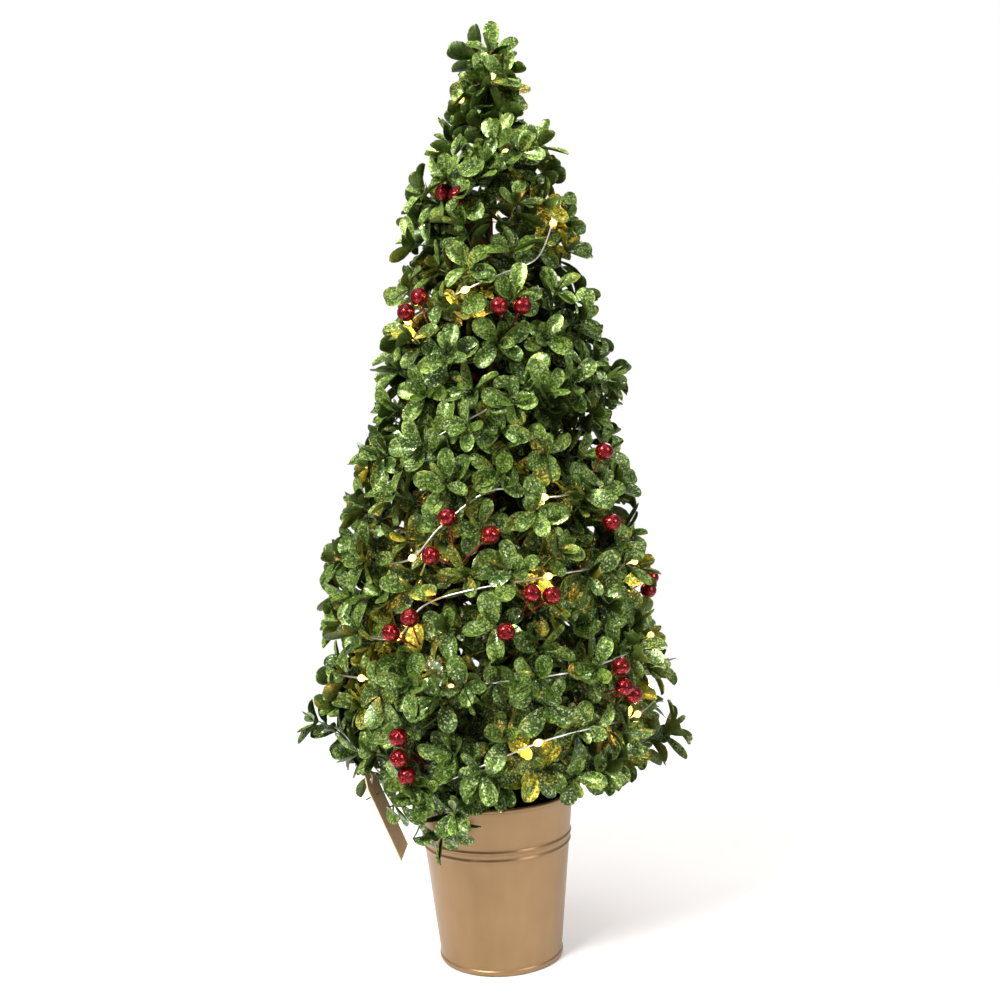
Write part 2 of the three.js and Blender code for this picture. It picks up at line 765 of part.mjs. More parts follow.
function berryPick([name, azimuth, share, berries]) {
  const owner = "berry_pick_" + name;
  const z = heightAt(share);
  const stem = pickStem(azimuth, z);
  takeCurve(owner, stem, PICK_RADIUS + 0.4, 3);
  const pieces = [rod(stem, PICK_RADIUS, 3, 4)];
  for (const [right, up, out] of berries) {
    const centre = onOutline(azimuth, z, right, up, BERRY_OUT + out);
    const stalk = new THREE.LineCurve3(stem.getPoint(FORK_SHARE), centre);
    takeCurve(owner, stalk, PICK_RADIUS + 0.4, 3);
    take(owner, centre, BERRY_RADIUS);
    pieces.push(rod(stalk, PICK_RADIUS, 3, 1));
    const berry = new THREE.IcosahedronGeometry(BERRY_RADIUS, 0);
    pieces.push(berry.translate(centre.x, centre.y, centre.z));
  }
  return named(owner, join(pieces), FINISHES.berry);
}

// ---- Hang tag -----------------------------------------------------------------------------

function tagShape() {
  const half = TAG_WIDTH / 2;
  const top = TAG_HOLE_INSET;
  const shape = new THREE.Shape([
    new THREE.Vector2(-half, top - TAG_LENGTH),
    new THREE.Vector2(half, top - TAG_LENGTH),
    new THREE.Vector2(half, top - TAG_CORNER),
    new THREE.Vector2(half - TAG_CORNER, top),
    new THREE.Vector2(TAG_CORNER - half, top),
    new THREE.Vector2(-half, top - TAG_CORNER),
  ]);
  const hole = Array.from({ length: 10 }, (_, i) => {
    const angle = (-2 * Math.PI * i) / 10;
    return new THREE.Vector2(
      TAG_HOLE_RADIUS * Math.cos(angle),
      TAG_HOLE_RADIUS * Math.sin(angle),
    );
  });
  shape.holes.push(new THREE.Path(hole));
  return shape;
}

// Under the foliage, and far enough out that the card never swings into the pot.
function tagKnot() {
  const reach = TAG_LOOP - TAG_HOLE_INSET + TAG_LENGTH;
  const inward = (TAG_SLANT + TAG_SWING_IN) * TURN;
  const potThere = potRadius(TAG_HEIGHT - reach * Math.cos(inward));
  const clear = potThere + reach * Math.sin(inward) + TAG_AIR;
  const radius = Math.max(clear, outlineRadius(TAG_HEIGHT) - TAG_INSET);
  return place(TAG_AZIMUTH, radius, TAG_HEIGHT);
}

// A group whose origin is the knot: the card hangs down -Z, with its width along Y.
function tagGroup() {
  const group = new THREE.Group();
  group.position.copy(tagKnot());
  group.rotation.set(0, -TAG_SLANT * TURN, -TAG_TURN * TURN, "YZX");
  return group;
}

function tagCard() {
  return new THREE.ExtrudeGeometry(tagShape(), {
    depth: TAG_THICKNESS,
    bevelEnabled: false,
  })
    .translate(0, 0, -TAG_THICKNESS / 2)
    .rotateX(Math.PI / 2)
    .rotateZ(Math.PI / 2)
    .translate(0, 0, -TAG_LOOP);
}

// From the knot down one face of the card, through the hole and up the other face.
function tagString() {
  const side = TAG_STRING_HALF;
  const points = [
    new THREE.Vector3(0, 0, 0),
    new THREE.Vector3(-side, 0, -TAG_LOOP * 0.45),
    new THREE.Vector3(-side, 0, 1 - TAG_LOOP),
    new THREE.Vector3(0, 0, -0.4 - TAG_LOOP),
    new THREE.Vector3(side, 0, 1 - TAG_LOOP),
    new THREE.Vector3(side, 0, -TAG_LOOP * 0.45),
    new THREE.Vector3(0, 0, 0),
  ];
  const curve = new THREE.CatmullRomCurve3(points, false, "centripetal");
  const knot = new THREE.OctahedronGeometry(TAG_KNOT_RADIUS);
  return join([rod(curve, TAG_STRING_RADIUS, 3, 14), knot]);
}

// The card's room, through its whole swing about the knot.
function takeTagRoom() {
  const bottom = TAG_LOOP - TAG_HOLE_INSET + TAG_LENGTH;
  const knot = tagKnot();
  for (let swing = -TAG_SWING_IN; swing <= TAG_SWING_OUT; swing += 5) {
    const angle = (TAG_SLANT - swing) * TURN;
    for (let down = 0; down <= bottom; down += 5) {
      const half = down < TAG_LOOP - TAG_HOLE_INSET ? 0 : TAG_WIDTH / 2;
      for (const across of [-1, -0.5, 0, 0.5, 1]) {
        const offset = [down * Math.sin(angle), across * half, -down * Math.cos(angle)];
        take("hang_tag", new THREE.Vector3(...offset).add(knot), 3);
      }
    }
  }
}

// The tip of the twig that passes just over the knot.
function tagTwigTip(stem) {
  const over = tagKnot();
  over.z += TAG_KNOT_RADIUS + TAG_KNOT_AIR + TWIG_RADIUS;
  const foot = twigFoot(stem, PATCH_TWIGS - 1);
  return over.add(over.clone().sub(foot).setLength(LEAF_LENGTH * 0.7));
}

function addTag(tree) {
  takeTagRoom();
  const group = tagGroup();
  group.add(named("hang_tag", tagCard(), FINISHES.card));
  group.add(named("tag_string", tagString(), FINISHES.twine));
  tree.add(group);
}

// ---- Branches -------------------------------------------------------------------------------

// Where the middle of a branch's patch of leaves lies on the outline: equal areas apart.
function branchPlan(k) {
  const share = k / (BRANCHES - 1);
  const up = 1 - (1 - share) ** (1 / (1 + CONE_POWER));
  const z = BRANCH_LOW + (BRANCH_HIGH - BRANCH_LOW) * up;
  return { azimuth: BRANCH_PHASE + BRANCH_TURN * k, z };
}

// Main stem: out of the trunk, over the rim if it is a low one, and up to its patch.
function stemCurve({ azimuth, z }) {
  const besideRim = z < POT_HEIGHT + STEM_LOWEST;
  const least = besideRim ? POT_RIM_RADIUS + RIM_ROLL + RIM_AIR : STEM_SHORTEST;
  const reach = Math.max(least, outlineRadius(z) - STEM_INSET);
  const climb = (z - BRANCH_LOW) / (BRANCH_HIGH - BRANCH_LOW);
  const rise = reach * (0.12 + 0.9 * climb);
  const lowest = FOAM_TOP + STEM_LOWEST;
  const start = Math.min(TRUNK_TOP - 6, Math.max(lowest, z - rise));
  const arch = LOW_ARCH * Math.max(0, 1 - (z - BRANCH_LOW) / 60);
  const footRadius = trunkRadius(start) + GAP + STEM_RADIUS;
  const middleZ = start + 0.4 * (z - start) + arch;
  const end = place(azimuth, reach, z);
  const boxInWay = Math.sin(azimuth * TURN) > 0.3 && start < boxBottom + boxHeight + BOX_AIR;
  if (boxInWay) {
    const side = end.x > 0 ? 0 : 180;
    const around = place(side, BOX_DETOUR * boxHalfWidth, middleZ);
    return new THREE.QuadraticBezierCurve3(place(side, footRadius, start), around, end);
  }
  const middle = place(azimuth, Math.max(0.55 * reach, footRadius + 2), middleZ);
  return new THREE.QuadraticBezierCurve3(place(azimuth, footRadius, start), middle, end);
}

// Where a twig's tip lies: spread over the patch like the seeds of a sunflower. The nudge
// moves it in degrees round the trunk, up, and in from the outline.
function twigTip({ azimuth, z }, k, j, [turned = 0, raised = 0, inset = 0] = []) {
  const spread = PATCH_RADIUS * Math.sqrt((j + 0.5) / PATCH_TWIGS);
  const angle = (j * BRANCH_TURN + 360 * chance(k, 1)) * TURN;
  const up = Math.min(spread * Math.sin(angle) + raised, FOLIAGE_TOP - TOP_TO_TIP - z);
  const height = Math.max(z + up, FOLIAGE_HEM + HEM_TO_TIP);
  const radius = Math.max(2, outlineRadius(height) - LEAF_LENGTH * 0.62 - inset);
  const around = (spread * Math.cos(angle)) / Math.max(radius, 18) / TURN;
  return place(azimuth + around + turned, radius, height);
}

function twigFoot(stem, j) {
  return stem.getPoint(TWIGS_FROM + (TWIGS_OVER * (j + 1)) / PATCH_TWIGS);
}

function twigCurve(stem, tip, j) {
  return new THREE.LineCurve3(twigFoot(stem, j), tip);
}

// A rosette of leaves round a twig's tip. Each leaf is a lobe between two notches, as long
// as the room for it allows.
function rosette(owner, tip, along, seed) {
  const side = new THREE.Vector3(0.01, 0, 1).cross(along).normalize();
  const over = along.clone().cross(side);
  const pointAt = (turn, open, length) =>
    tip
      .clone()
      .addScaledVector(along, length * Math.cos(open))
      .addScaledVector(side, length * Math.sin(open) * Math.cos(turn))
      .addScaledVector(over, length * Math.sin(open) * Math.sin(turn));
  const ring = [];
  for (let i = 0; i < ROSETTE_LEAVES; i++) {
    const step = (2 * Math.PI) / ROSETTE_LEAVES;
    const turn = step * (i + 0.25 * chance(seed, i, 3));
    const open = LEAF_SPREAD * (0.8 + 0.4 * chance(seed, i, 4)) * TURN;
    const full = LEAF_LENGTH * (0.85 + 0.3 * chance(seed, i, 5));
    const balls = [0.55, 0.8, 1].map((share) => pointAt(turn, open, share * full));
    const free = balls.every((ball) => isFree(owner, ball, LEAF_WIDTH * 0.4));
    if (free) balls.forEach((ball) => take(owner, ball, LEAF_WIDTH * 0.4));
    ring.push(pointAt(turn, open, free ? full : ROSETTE_NOTCH));
    ring.push(pointAt(step * (i + 0.6), LEAF_SPREAD * TURN, ROSETTE_NOTCH));
  }
  const crown = tip.clone().addScaledVector(along, ROSETTE_CROWN);
  const heel = tip.clone().addScaledVector(along, -ROSETTE_CROWN);
  const corners = [...ring, crown, heel].flatMap((point) => point.toArray());
  const count = ring.length;
  const faces = ring.flatMap((_, i) => {
    const next = (i + 1) % count;
    return [count, i, next, count + 1, next, i];
  });
  return new THREE.BufferGeometry()
    .setAttribute("position", new THREE.Float32BufferAttribute(corners, 3))
    .setIndex(faces);
}

function branchName(k) {
  return "branch_" + String(k + 1).padStart(2, "0");
}

// The places to try for each twig that is modelled: some of the patch's own, and any stray.
function tipChoices(plan, k) {
  const choices = [];
  for (let j = 0; j < PATCH_TWIGS; j += TWIG_STEP) {
    choices.push([j, TIP_NUDGES.map((nudge) => twigTip(plan, k, j, nudge))]);
  }
  for (const [owner, azimuth, z, out] of STRAYS) {
    const tip = place(azimuth, outlineRadius(z) + out - LEAF_LENGTH, z);
    if (owner === k) choices.push([PATCH_TWIGS - 2, [tip]]);
  }
  return choices;
}

function twigWithRosette(owner, stem, tip, j, seed) {
  const twig = twigCurve(stem, tip, j);
  takeCurve(owner, twig, TWIG_RADIUS + 0.5, 3);
  take(owner, tip, ROSETTE_NOTCH);
  return [rod(twig, TWIG_RADIUS, 3, 1), rosette(owner, tip, twig.getTangent(1), seed)];
}

function twigIsFree(owner, twig, tip) {
  const samples = [0.2, 0.3, 0.4, 0.5, 0.6, 0.7, 0.8, 0.9].map((t) => twig.getPoint(t));
  if (!samples.every((point) => isFree(owner, point, TWIG_RADIUS + 0.6))) return false;
  return isFree(owner, tip, ROSETTE_NOTCH);
}

function branch(k) {
  const owner = branchName(k);
  const plan = branchPlan(k);
  const stem = stemCurve(plan);
  const pieces = [rod(stem, STEM_RADIUS, 3, 4)];
  for (const [j, tips] of tipChoices(plan, k)) {
    const tip = tips.find((choice) => twigIsFree(owner, twigCurve(stem, choice, j), choice));
    if (tip) pieces.push(...twigWithRosette(owner, stem, tip, j, 10 * k + j));
  }
  if (k === TAG_BRANCH) {
    const last = PATCH_TWIGS - 1;
    pieces.push(...twigWithRosette(owner, stem, tagTwigTip(stem), last, 10 * k + last));
  }
  return named(owner, join(pieces), FINISHES.leaf);
}

// ---- The whole tree -----------------------------------------------------------------------

function addFoliage(tree) {
  for (const pick of PICKS) tree.add(berryPick(pick));
  // Every main stem's room is taken before any twig grows.
  for (let k = 0; k < BRANCHES; k++) {
    takeCurve(branchName(k), stemCurve(branchPlan(k)), STEM_RADIUS + 0.5, 3);
  }
  for (let k = 0; k < BRANCHES; k++) tree.add(branch(k));
}

function tabletopTree() {
  const tree = new THREE.Group();
  tree.name = "tabletop_tree";
  addPot(tree);
  addTrunk(tree);
  addBatteryBox(tree);
  addTag(tree);
  addLightString(tree);
  addFoliage(tree);
  return tree;
}

export default tabletopTree();
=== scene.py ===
import math
import random

import bpy
import numpy as np
from mathutils import Matrix, Vector, noise


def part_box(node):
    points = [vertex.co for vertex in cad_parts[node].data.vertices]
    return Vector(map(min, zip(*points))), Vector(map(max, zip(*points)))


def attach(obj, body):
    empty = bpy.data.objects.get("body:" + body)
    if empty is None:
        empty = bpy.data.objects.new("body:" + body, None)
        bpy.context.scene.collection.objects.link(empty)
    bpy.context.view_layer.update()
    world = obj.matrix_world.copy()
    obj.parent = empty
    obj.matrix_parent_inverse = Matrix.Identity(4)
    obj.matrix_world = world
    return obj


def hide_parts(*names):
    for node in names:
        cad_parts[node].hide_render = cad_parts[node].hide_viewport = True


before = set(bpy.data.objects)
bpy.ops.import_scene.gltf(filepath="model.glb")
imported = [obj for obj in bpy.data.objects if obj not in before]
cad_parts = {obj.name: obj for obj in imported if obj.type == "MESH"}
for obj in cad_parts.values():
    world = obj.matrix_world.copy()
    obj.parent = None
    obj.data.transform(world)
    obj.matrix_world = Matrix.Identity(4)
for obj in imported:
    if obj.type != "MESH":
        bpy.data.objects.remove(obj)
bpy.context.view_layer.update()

# Lengths are in millimetres and angles in degrees unless they say otherwise. MM turns a
# length to metres.
MM = 0.001

# ---- Dimensions, the same as the CAD model's ----

GAP = 0.3

POT_HEIGHT = 112
POT_BASE_RADIUS = 40
POT_RIM_RADIUS = 52
POT_WALL = 0.8
RIM_ROLL = 1.5
BEAD_HEIGHTS = (77, 82.5)
BEAD_PROUD = 0.9
BEAD_HALF = 1.9
FOOT_BEAD = 3.6
FOOT_PROUD = 0.9

FOAM_TOP = 101
TRUNK_DEPTH = 48
TRUNK_TOP = 566
TRUNK_FOOT_RADIUS = 5
TRUNK_TOP_RADIUS = 1.8
LEAN = 0.032  # the trunk's lean to +X for each unit of height

FOLIAGE_TOP = 604
FOLIAGE_WIDEST = 198  # the height where the foliage is widest
FOLIAGE_HEM = 84
FOLIAGE_RADIUS = 117
HEM_SHARE = 0.69  # the hem's radius as a share of the widest
CONE_POWER = 0.62  # 1 is a straight cone, and less bulges

BRANCHES = 30
BRANCH_PHASE = 64
BRANCH_TURN = 137.508  # the golden angle
BRANCH_LOW = 112
BRANCH_HIGH = 574
STEM_RADIUS = 1.2
TWIG_RADIUS = 0.75
PATCH_RADIUS = 52  # the patch of the outline that one branch covers
PATCH_TWIGS = 8
LEAF_LENGTH = 20

WIRE_INSET = 10  # the light string runs this far inside the outline
WIRE_RADIUS = 0.62
BULB_RADIUS = 2.2
BULB_LENGTH = 6
LEAD_HOLE_X = 13.2

BERRY_RADIUS = 5.6
BERRY_OUT = 0.6  # a berry's middle is this far outside the outline
PICK_RADIUS = 0.8
STALK_RADIUS = 0.6

BOX_FROM_AXIS = 7.5  # the battery box's front wall behind the trunk's axis
DOOR_TRAVEL = 30

TAG_AZIMUTH = 203
TAG_HEIGHT = 140
TAG_INSET = 21
TAG_KNOT_RADIUS = 2
TAG_SLANT = 22  # from hanging straight down
TAG_TURN = 4
TAG_LOOP = 12  # from the knot to the card's hole
TAG_REACH = 63  # from the knot to the card's foot
TAG_SWING = (-10, 45)

# Sprigs that stand out of the outline: branch, azimuth, height and how far out.
STRAYS = ((1, 192, 166, 20), (2, -8, 150, 22))

# The light string's lights in turn: azimuth, share of the foliage's height, whether it is
# lit (0 is a bend of the wire with no light) and how far it stands out of the string's run.
LIGHTS = (
    (-240, 0.022), (-190, 0.06), (-160, 0.105, 0), (-120, 0.045), (-105, 0.067, 0), (-76, 0.109),
    (-34, 0.118), (12, 0.122), (64, 0.13), (118, 0.142), (170, 0.16), (221, 0.182),
    (257, 0.182), (300, 0.19), (345, 0.206), (395, 0.218), (445, 0.226), (500, 0.232),
    (548, 0.238), (596, 0.236), (606, 0.275, 0), (650, 0.303), (701, 0.304),
    (748, 0.304), (797, 0.306), (850, 0.31), (905, 0.318), (959, 0.33),
    (970, 0.367, 0), (991, 0.409, 0), (1011, 0.397), (1036, 0.402), (1085, 0.41),
    (1145, 0.42), (1205, 0.43), (1265, 0.442), (1314, 0.462), (1354, 0.512),
    (1385, 0.534), (1440, 0.545), (1510, 0.56), (1580, 0.58), (1625, 0.602),
    (1654, 0.623), (1695, 0.655), (1719, 0.674, 0), (1742, 0.692, 0), (1769, 0.743),
    (1812, 0.756), (1876, 0.768), (1950, 0.782), (2020, 0.8), (2088, 0.832),
    (2160, 0.858), (2260, 0.886), (2360, 0.914), (2440, 0.938), (2510, 0.958, 1, 9),
)
# Lights that leaves hide, by azimuth, more places where leaves hide the wire, and the pick
# that they hide in part.
COVERED = (
    -190, -120, 170, 257, 300, 345, 548, 905, 1036, 1085, 1314, 1354, 1385, 1440, 1625, 1812,
    1950, 2020, 2088, 2160, 2260, 2360, 2440,
)
WIRE_COVERED = ((685, 0.304), (1675, 0.64))
PICK_COVERED = "high_left"

# Picks of berries: name, azimuth, share of the foliage's height, and each berry's place
# from there as right, up and out.
PICKS = (
    ("upper_front", -80, 0.612, ((-7, 9, 0), (7, 9, 0))),
    ("upper_left", -137, 0.611, ((1, 10, 0), (8, 19, -2))),
    ("middle_left", -106, 0.337, ((1, 21, 0), (-8, -1, 0), (27, 10, -2))),
    ("middle_front", -80, 0.267, ((4, 10, 0), (16, 8, 0), (-12, -11, -1))),
    ("lower_left", -121, 0.236, ((9, 13, 0), (-3, 4, 0))),
    ("lower_right", -50, 0.168, ((2, -1, 0), (1, 11, 0), (13, -8, -2))),
    ("rim_left", -118, 0.1, ((-1, 11, 0), (0, -1, 2), (3, -12, 0))),
    ("right", -43, 0.4, ((5, 24, -2), (-2, -19, 0))),
    ("high_left", -125, 0.776, ((-6, 4, -9), (7, 1, -9))),
    ("right_back", 15, 0.26, ((-6, 5, 0), (6, 9, 0), (3, -5, 0))),
    ("back", 76, 0.44, ((-6, 6, 0), (7, 8, 0))),
    ("back_low", 131, 0.21, ((-7, 4, 0), (5, 9, 0), (0, -6, 1))),
    ("left_back", 148, 0.61, ((-5, 7, 0), (6, 9, -2))),
)

box_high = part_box("battery_box")[1]
BOX_HALF = box_high.x / MM
BOX_BACK = box_high.y / MM
BOX_TOP = box_high.z / MM
BOX_MIDDLE_Y = BOX_FROM_AXIS + 9.35  # the middle line of the cells


# ---- Where things are ----


def chance(a, b=0, c=0):
    """A number from 0 to 1 that is always the same for the same arguments."""
    value = math.sin(a * 127.1 + b * 311.7 + c * 74.7) * 43758.5453
    return value - math.floor(value)


def outline_radius(z):
    """The radius of the foliage's outline at a height."""
    if z >= FOLIAGE_WIDEST:
        left = max(0, (FOLIAGE_TOP - z) / (FOLIAGE_TOP - FOLIAGE_WIDEST))
        return FOLIAGE_RADIUS * left**CONE_POWER
    below = (FOLIAGE_WIDEST - z) / (FOLIAGE_WIDEST - FOLIAGE_HEM)
    return FOLIAGE_RADIUS * (1 - (1 - HEM_SHARE) * below**3)


# Where the foliage bulges out of its outline or falls short of it: azimuth, height, how far
# round in degrees and up in millimetres this goes, and how far out.
BULGES = (
    (180, 556, 60, 20, -15), (0, 556, 60, 20, -10), (180, 475, 40, 18, 8), (180, 415, 40, 26, -12),
    (180, 355, 40, 24, -14), (0, 360, 40, 40, 5), (180, 312, 40, 18, 9), (0, 305, 40, 18, -13),
    (180, 250, 40, 16, 12), (180, 205, 40, 22, -15), (0, 230, 40, 40, -13),
    (180, 142, 35, 18, -12), (0, 165, 30, 16, -8), (0, 112, 60, 30, -16),
)

# The lowest leaves droop to the hem round one azimuth, and stay above the rim elsewhere.
DROOP_AZIMUTH = 224
DROOP_HALF = 26
DROOP_FADE = 12
HEM_RISE = 52


def turn_between(azimuth, other):
    """The signed angle from the other azimuth to this one, between -180 and 180."""
    return (azimuth - other + 180) % 360 - 180


def bulge(azimuth, z):
    """How far out the foliage bulges at a place."""
    total = 0
    for at, height, wide, tall, out in BULGES:
        away = turn_between(azimuth, at)
        total += out * math.exp(-((away / wide) ** 2) - ((z - height) / tall) ** 2)
    return total


def hem_rise(azimuth):
    """How much higher than the hem the lowest leaves are: they only droop at the front left."""
    away = abs(turn_between(azimuth, DROOP_AZIMUTH)) - DROOP_HALF
    return HEM_RISE * min(1, max(0, away / DROOP_FADE))


def height_at(share):
    return POT_HEIGHT + share * (FOLIAGE_TOP - POT_HEIGHT)


def axis_x(z):
    return LEAN * (z - FOAM_TOP)


def polar(radius, angle, z):
    """The point at a radius and an angle in radians, at a height."""
    return radius * math.cos(angle), radius * math.sin(angle), z


def turns(count):
    """Angles in radians, spread evenly round a circle."""
    return [2 * math.pi * i / count for i in range(count)]


def place(azimuth, radius, z):
    """The point at an azimuth and a radius from the leaning trunk's axis, at a height."""
    x, y, _ = polar(radius, math.radians(azimuth), z)
    return Vector((axis_x(z) + x, y, z))


def trunk_radius(z):
    foot = FOAM_TOP - TRUNK_DEPTH
    share = (z - foot) / (TRUNK_TOP - foot)
    return TRUNK_FOOT_RADIUS + (TRUNK_TOP_RADIUS - TRUNK_FOOT_RADIUS) * share


def bezier(a, b, c, t):
    return a * (1 - t) ** 2 + b * (2 * t * (1 - t)) + c * t**2


def branch_plan(k):
    """The azimuth and height of a branch, counted from 0 at the bottom."""
    share = k / (BRANCHES - 1)
    up = 1 - (1 - share) ** (1 / (1 + CONE_POWER))
    return BRANCH_PHASE + BRANCH_TURN * k, BRANCH_LOW + (BRANCH_HIGH - BRANCH_LOW) * up


def stem_controls(azimuth, z):
    """A stem's three Bezier points. A low stem at the back goes round the battery box."""
    reach = max(6, outline_radius(z) - LEAF_LENGTH - 12)
    climb = (z - BRANCH_LOW) / (BRANCH_HIGH - BRANCH_LOW)
    rise = reach * (0.12 + 0.9 * climb)
    start = min(TRUNK_TOP - 6, max(FOAM_TOP + 17, z - rise))
    arch = 10 * max(0, 1 - (z - BRANCH_LOW) / 60)
    foot = trunk_radius(start) + GAP + STEM_RADIUS
    middle_z = start + 0.4 * (z - start) + arch
    end = place(azimuth, reach, z)
    if math.sin(math.radians(azimuth)) > 0.3 and start < BOX_TOP + 40:
        side = 0 if end.x > 0 else 180
        around = place(side, 2.4 * BOX_HALF, middle_z)
        return place(side, foot, start), around, end
    middle = place(azimuth, max(0.55 * reach, foot + 2), middle_z)
    return place(azimuth, foot, start), middle, end


def light_point(light):
    z = height_at(light[1])
    out = light[3] if len(light) > 3 else 0
    return place(light[0], outline_radius(z) - WIRE_INSET + out, z)


def lead_points():
    """The light string's way from inside the battery box to its first light."""
    first = light_point(LIGHTS[0])
    x, y, top = LEAD_HOLE_X, BOX_MIDDLE_Y, BOX_TOP
    points = [(x, y, top - 3), (x, y, top), (x, y, top + 3), (x + 2, y, top + 7)]
    points += [(x + 9, y + 4, top + 12), (x + 16, y + 28, top - 4), (x + 2, y + 57, top - 34)]
    return [Vector(p) for p in points] + [first + Vector((32, 9, 7))]


def smooth_path(points, step):
    """Points about a step apart on the centripetal Catmull-Rom curve through points."""
    padded = [points[0] * 2 - points[1], *points, points[-1] * 2 - points[-2]]
    path = []
    for p0, p1, p2, p3 in zip(padded, padded[1:], padded[2:], padded[3:]):
        d0, d1, d2 = (max((b - a).length ** 0.5, 1e-4) for a, b in ((p0, p1), (p1, p2), (p2, p3)))
        t1 = ((p1 - p0) / d0 - (p2 - p0) / (d0 + d1) + (p2 - p1) / d1) * d1
        t2 = ((p2 - p1) / d1 - (p3 - p1) / (d1 + d2) + (p3 - p2) / d2) * d1
        count = max(1, round((p2 - p1).length / step))
        for i in range(count):
            t = i / count
            a = p1 + t1 * t
            b = (p2 - p1) * 3 - t1 * 2 - t2
            c = (p1 - p2) * 2 + t1 + t2
            path.append(a + b * t**2 + c * t**3)
    path.append(points[-1])
    return path


def on_outline(azimuth, z, right, up, out):
    """A point right of, above and outside a place on the foliage's outline."""
    radius = outline_radius(z + up)
    return place(azimuth + math.degrees(right / radius), radius + out, z + up)


def berry_centres(pick):
    z = height_at(pick[2])
    return [on_outline(pick[1], z, right, up, BERRY_OUT + out) for right, up, out in pick[3]]


TAG_KNOT = place(TAG_AZIMUTH, outline_radius(TAG_HEIGHT) - TAG_INSET, TAG_HEIGHT)
lit = [light for light in LIGHTS if len(light) == 2 or light[2]]
bulb_centres = [light_point(light) for light in lit]


# ---- Mesh helpers ----


def add_object(name, data):
    obj = bpy.data.objects.new(name, data)
    bpy.context.scene.collection.objects.link(obj)
    return obj


class Build:
    """Gathers the vertices and faces of one piece, with the attributes its material reads."""

    def __init__(self):
        self.verts, self.faces, self.mats, self.count = [], [], [], 0
        self.tone, self.rim, self.along, self.under = [], [], [], []

    def add(self, verts, faces, mat=0, tone=0.5, rim=None, along=None, under=None):
        n, m = len(verts), len(faces)
        self.verts.append(np.asarray(verts, float))
        self.faces.extend([tuple(self.count + i for i in face) for face in faces])
        self.mats.append(np.full(m, mat, dtype=np.int32))
        self.tone.append(np.full(n, tone) if np.isscalar(tone) else tone)
        self.rim.append(np.zeros(n) if rim is None else rim)
        self.along.append(np.zeros(n) if along is None else along)
        self.under.append(np.zeros(m) if under is None else under)
        self.count += n

    def finish(self, name, materials, body, replaced=()):
        """Makes the piece. The edges between two rim vertices stay sharp."""
        mesh = bpy.data.meshes.new(name)
        verts = np.concatenate(self.verts) * MM
        mesh.from_pydata(verts.tolist(), [], self.faces)
        # On the leaves, tone carries painted shade and painted light (darker deeper in, lighter
        # higher up) as well as a random spread
        for label in ("tone", "rim", "along", "under"):
            values = np.concatenate(getattr(self, label)).astype(np.float32)
            layer = mesh.attributes.new(label, "FLOAT", "FACE" if label == "under" else "POINT")
            layer.data.foreach_set("value", values)
        mesh.polygons.foreach_set("material_index", np.concatenate(self.mats))
        mesh.polygons.foreach_set("use_smooth", np.ones(len(self.faces), dtype=bool))
        ends = np.empty(len(mesh.edges) * 2, dtype=np.int32)
        mesh.edges.foreach_get("vertices", ends)
        sharp = (np.concatenate(self.rim)[ends.reshape(-1, 2)] > 0.99).all(axis=1)
        mesh.attributes.new("sharp_edge", "BOOLEAN", "EDGE").data.foreach_set("value", sharp)
        for material in materials:
            mesh.materials.append(material)
        mesh.update()
        obj = add_object(name, mesh)
        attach(obj, body)
        if replaced:
            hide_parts(*replaced)
        return obj


def frames_along(path):
    """A tangent and two cross directions at each point, turning as little as they can."""
    path = [Vector(p) for p in path]
    tangents = []
    for i in range(len(path)):
        a, b = path[max(0, i - 1)], path[min(len(path) - 1, i + 1)]
        tangents.append((b - a).normalized())
    up = Vector((0, 0, 1)) if abs(tangents[0].z) < 0.9 else Vector((1, 0, 0))
    side = tangents[0].cross(up).normalized()
    frames = []
    for tangent in tangents:
        side = (side - tangent * side.dot(tangent)).normalized()
        frames.append((tangent, side, tangent.cross(side)))
    return frames


def ring_faces(rows, sides, caps=True):
    """Quads between rows of a tube whose vertices go round each row in turn."""
    faces = []
    for r in range(rows - 1):
        for s in range(sides):
            a, b = r * sides + s, r * sides + (s + 1) % sides
            faces.append((a, b, b + sides, a + sides))
    if caps:
        faces.append(tuple(reversed(range(sides))))
        faces.append(tuple((rows - 1) * sides + s for s in range(sides)))
    return faces


def tube(path, radius, sides, shape=None):
    """A closed tube. radius is a number or one for each point, and shape(i, angle) scales it."""
    verts = []
    for i, (point, (_, side, over)) in enumerate(zip(path, frames_along(path))):
        r = radius if np.isscalar(radius) else radius[i]
        for angle in turns(sides):
            k = r * (shape(i, angle) if shape else 1)
            out = side * (k * math.cos(angle)) + over * (k * math.sin(angle))
            verts.append(tuple(Vector(point) + out))
    return verts, ring_faces(len(path), sides)


def add_rod(build, controls, radius, steps, sides, taper=0.0):
    """A stalk along a Bezier curve, thinner at its end by a share of its radius."""
    path = [bezier(*controls, i / steps) for i in range(steps + 1)]
    radii = [radius * (1 - taper * i / steps) for i in range(steps + 1)]
    build.add(*tube(path, radii, sides), mat=1)


def lathe(profile, angles, shift):
    """A closed ring from a closed profile of (radius, height), at each of the angles.

    shift(angle, radius, height) is what a point's radius gains.
    """
    verts = []
    for angle in angles:
        for radius, z in profile:
            verts.append(polar(radius + shift(angle, radius, z), angle, z))
    n, faces = len(profile), []
    for a in range(len(angles)):
        b = (a + 1) % len(angles)
        for i in range(n):
            j = (i + 1) % n
            faces.append((a * n + i, b * n + i, b * n + j, a * n + j))
    return verts, faces


# ---- Material helpers ----

NOISE_ROUGHNESS = 0.55
CELL_BAND = 146  # the height where the cells' copper band starts


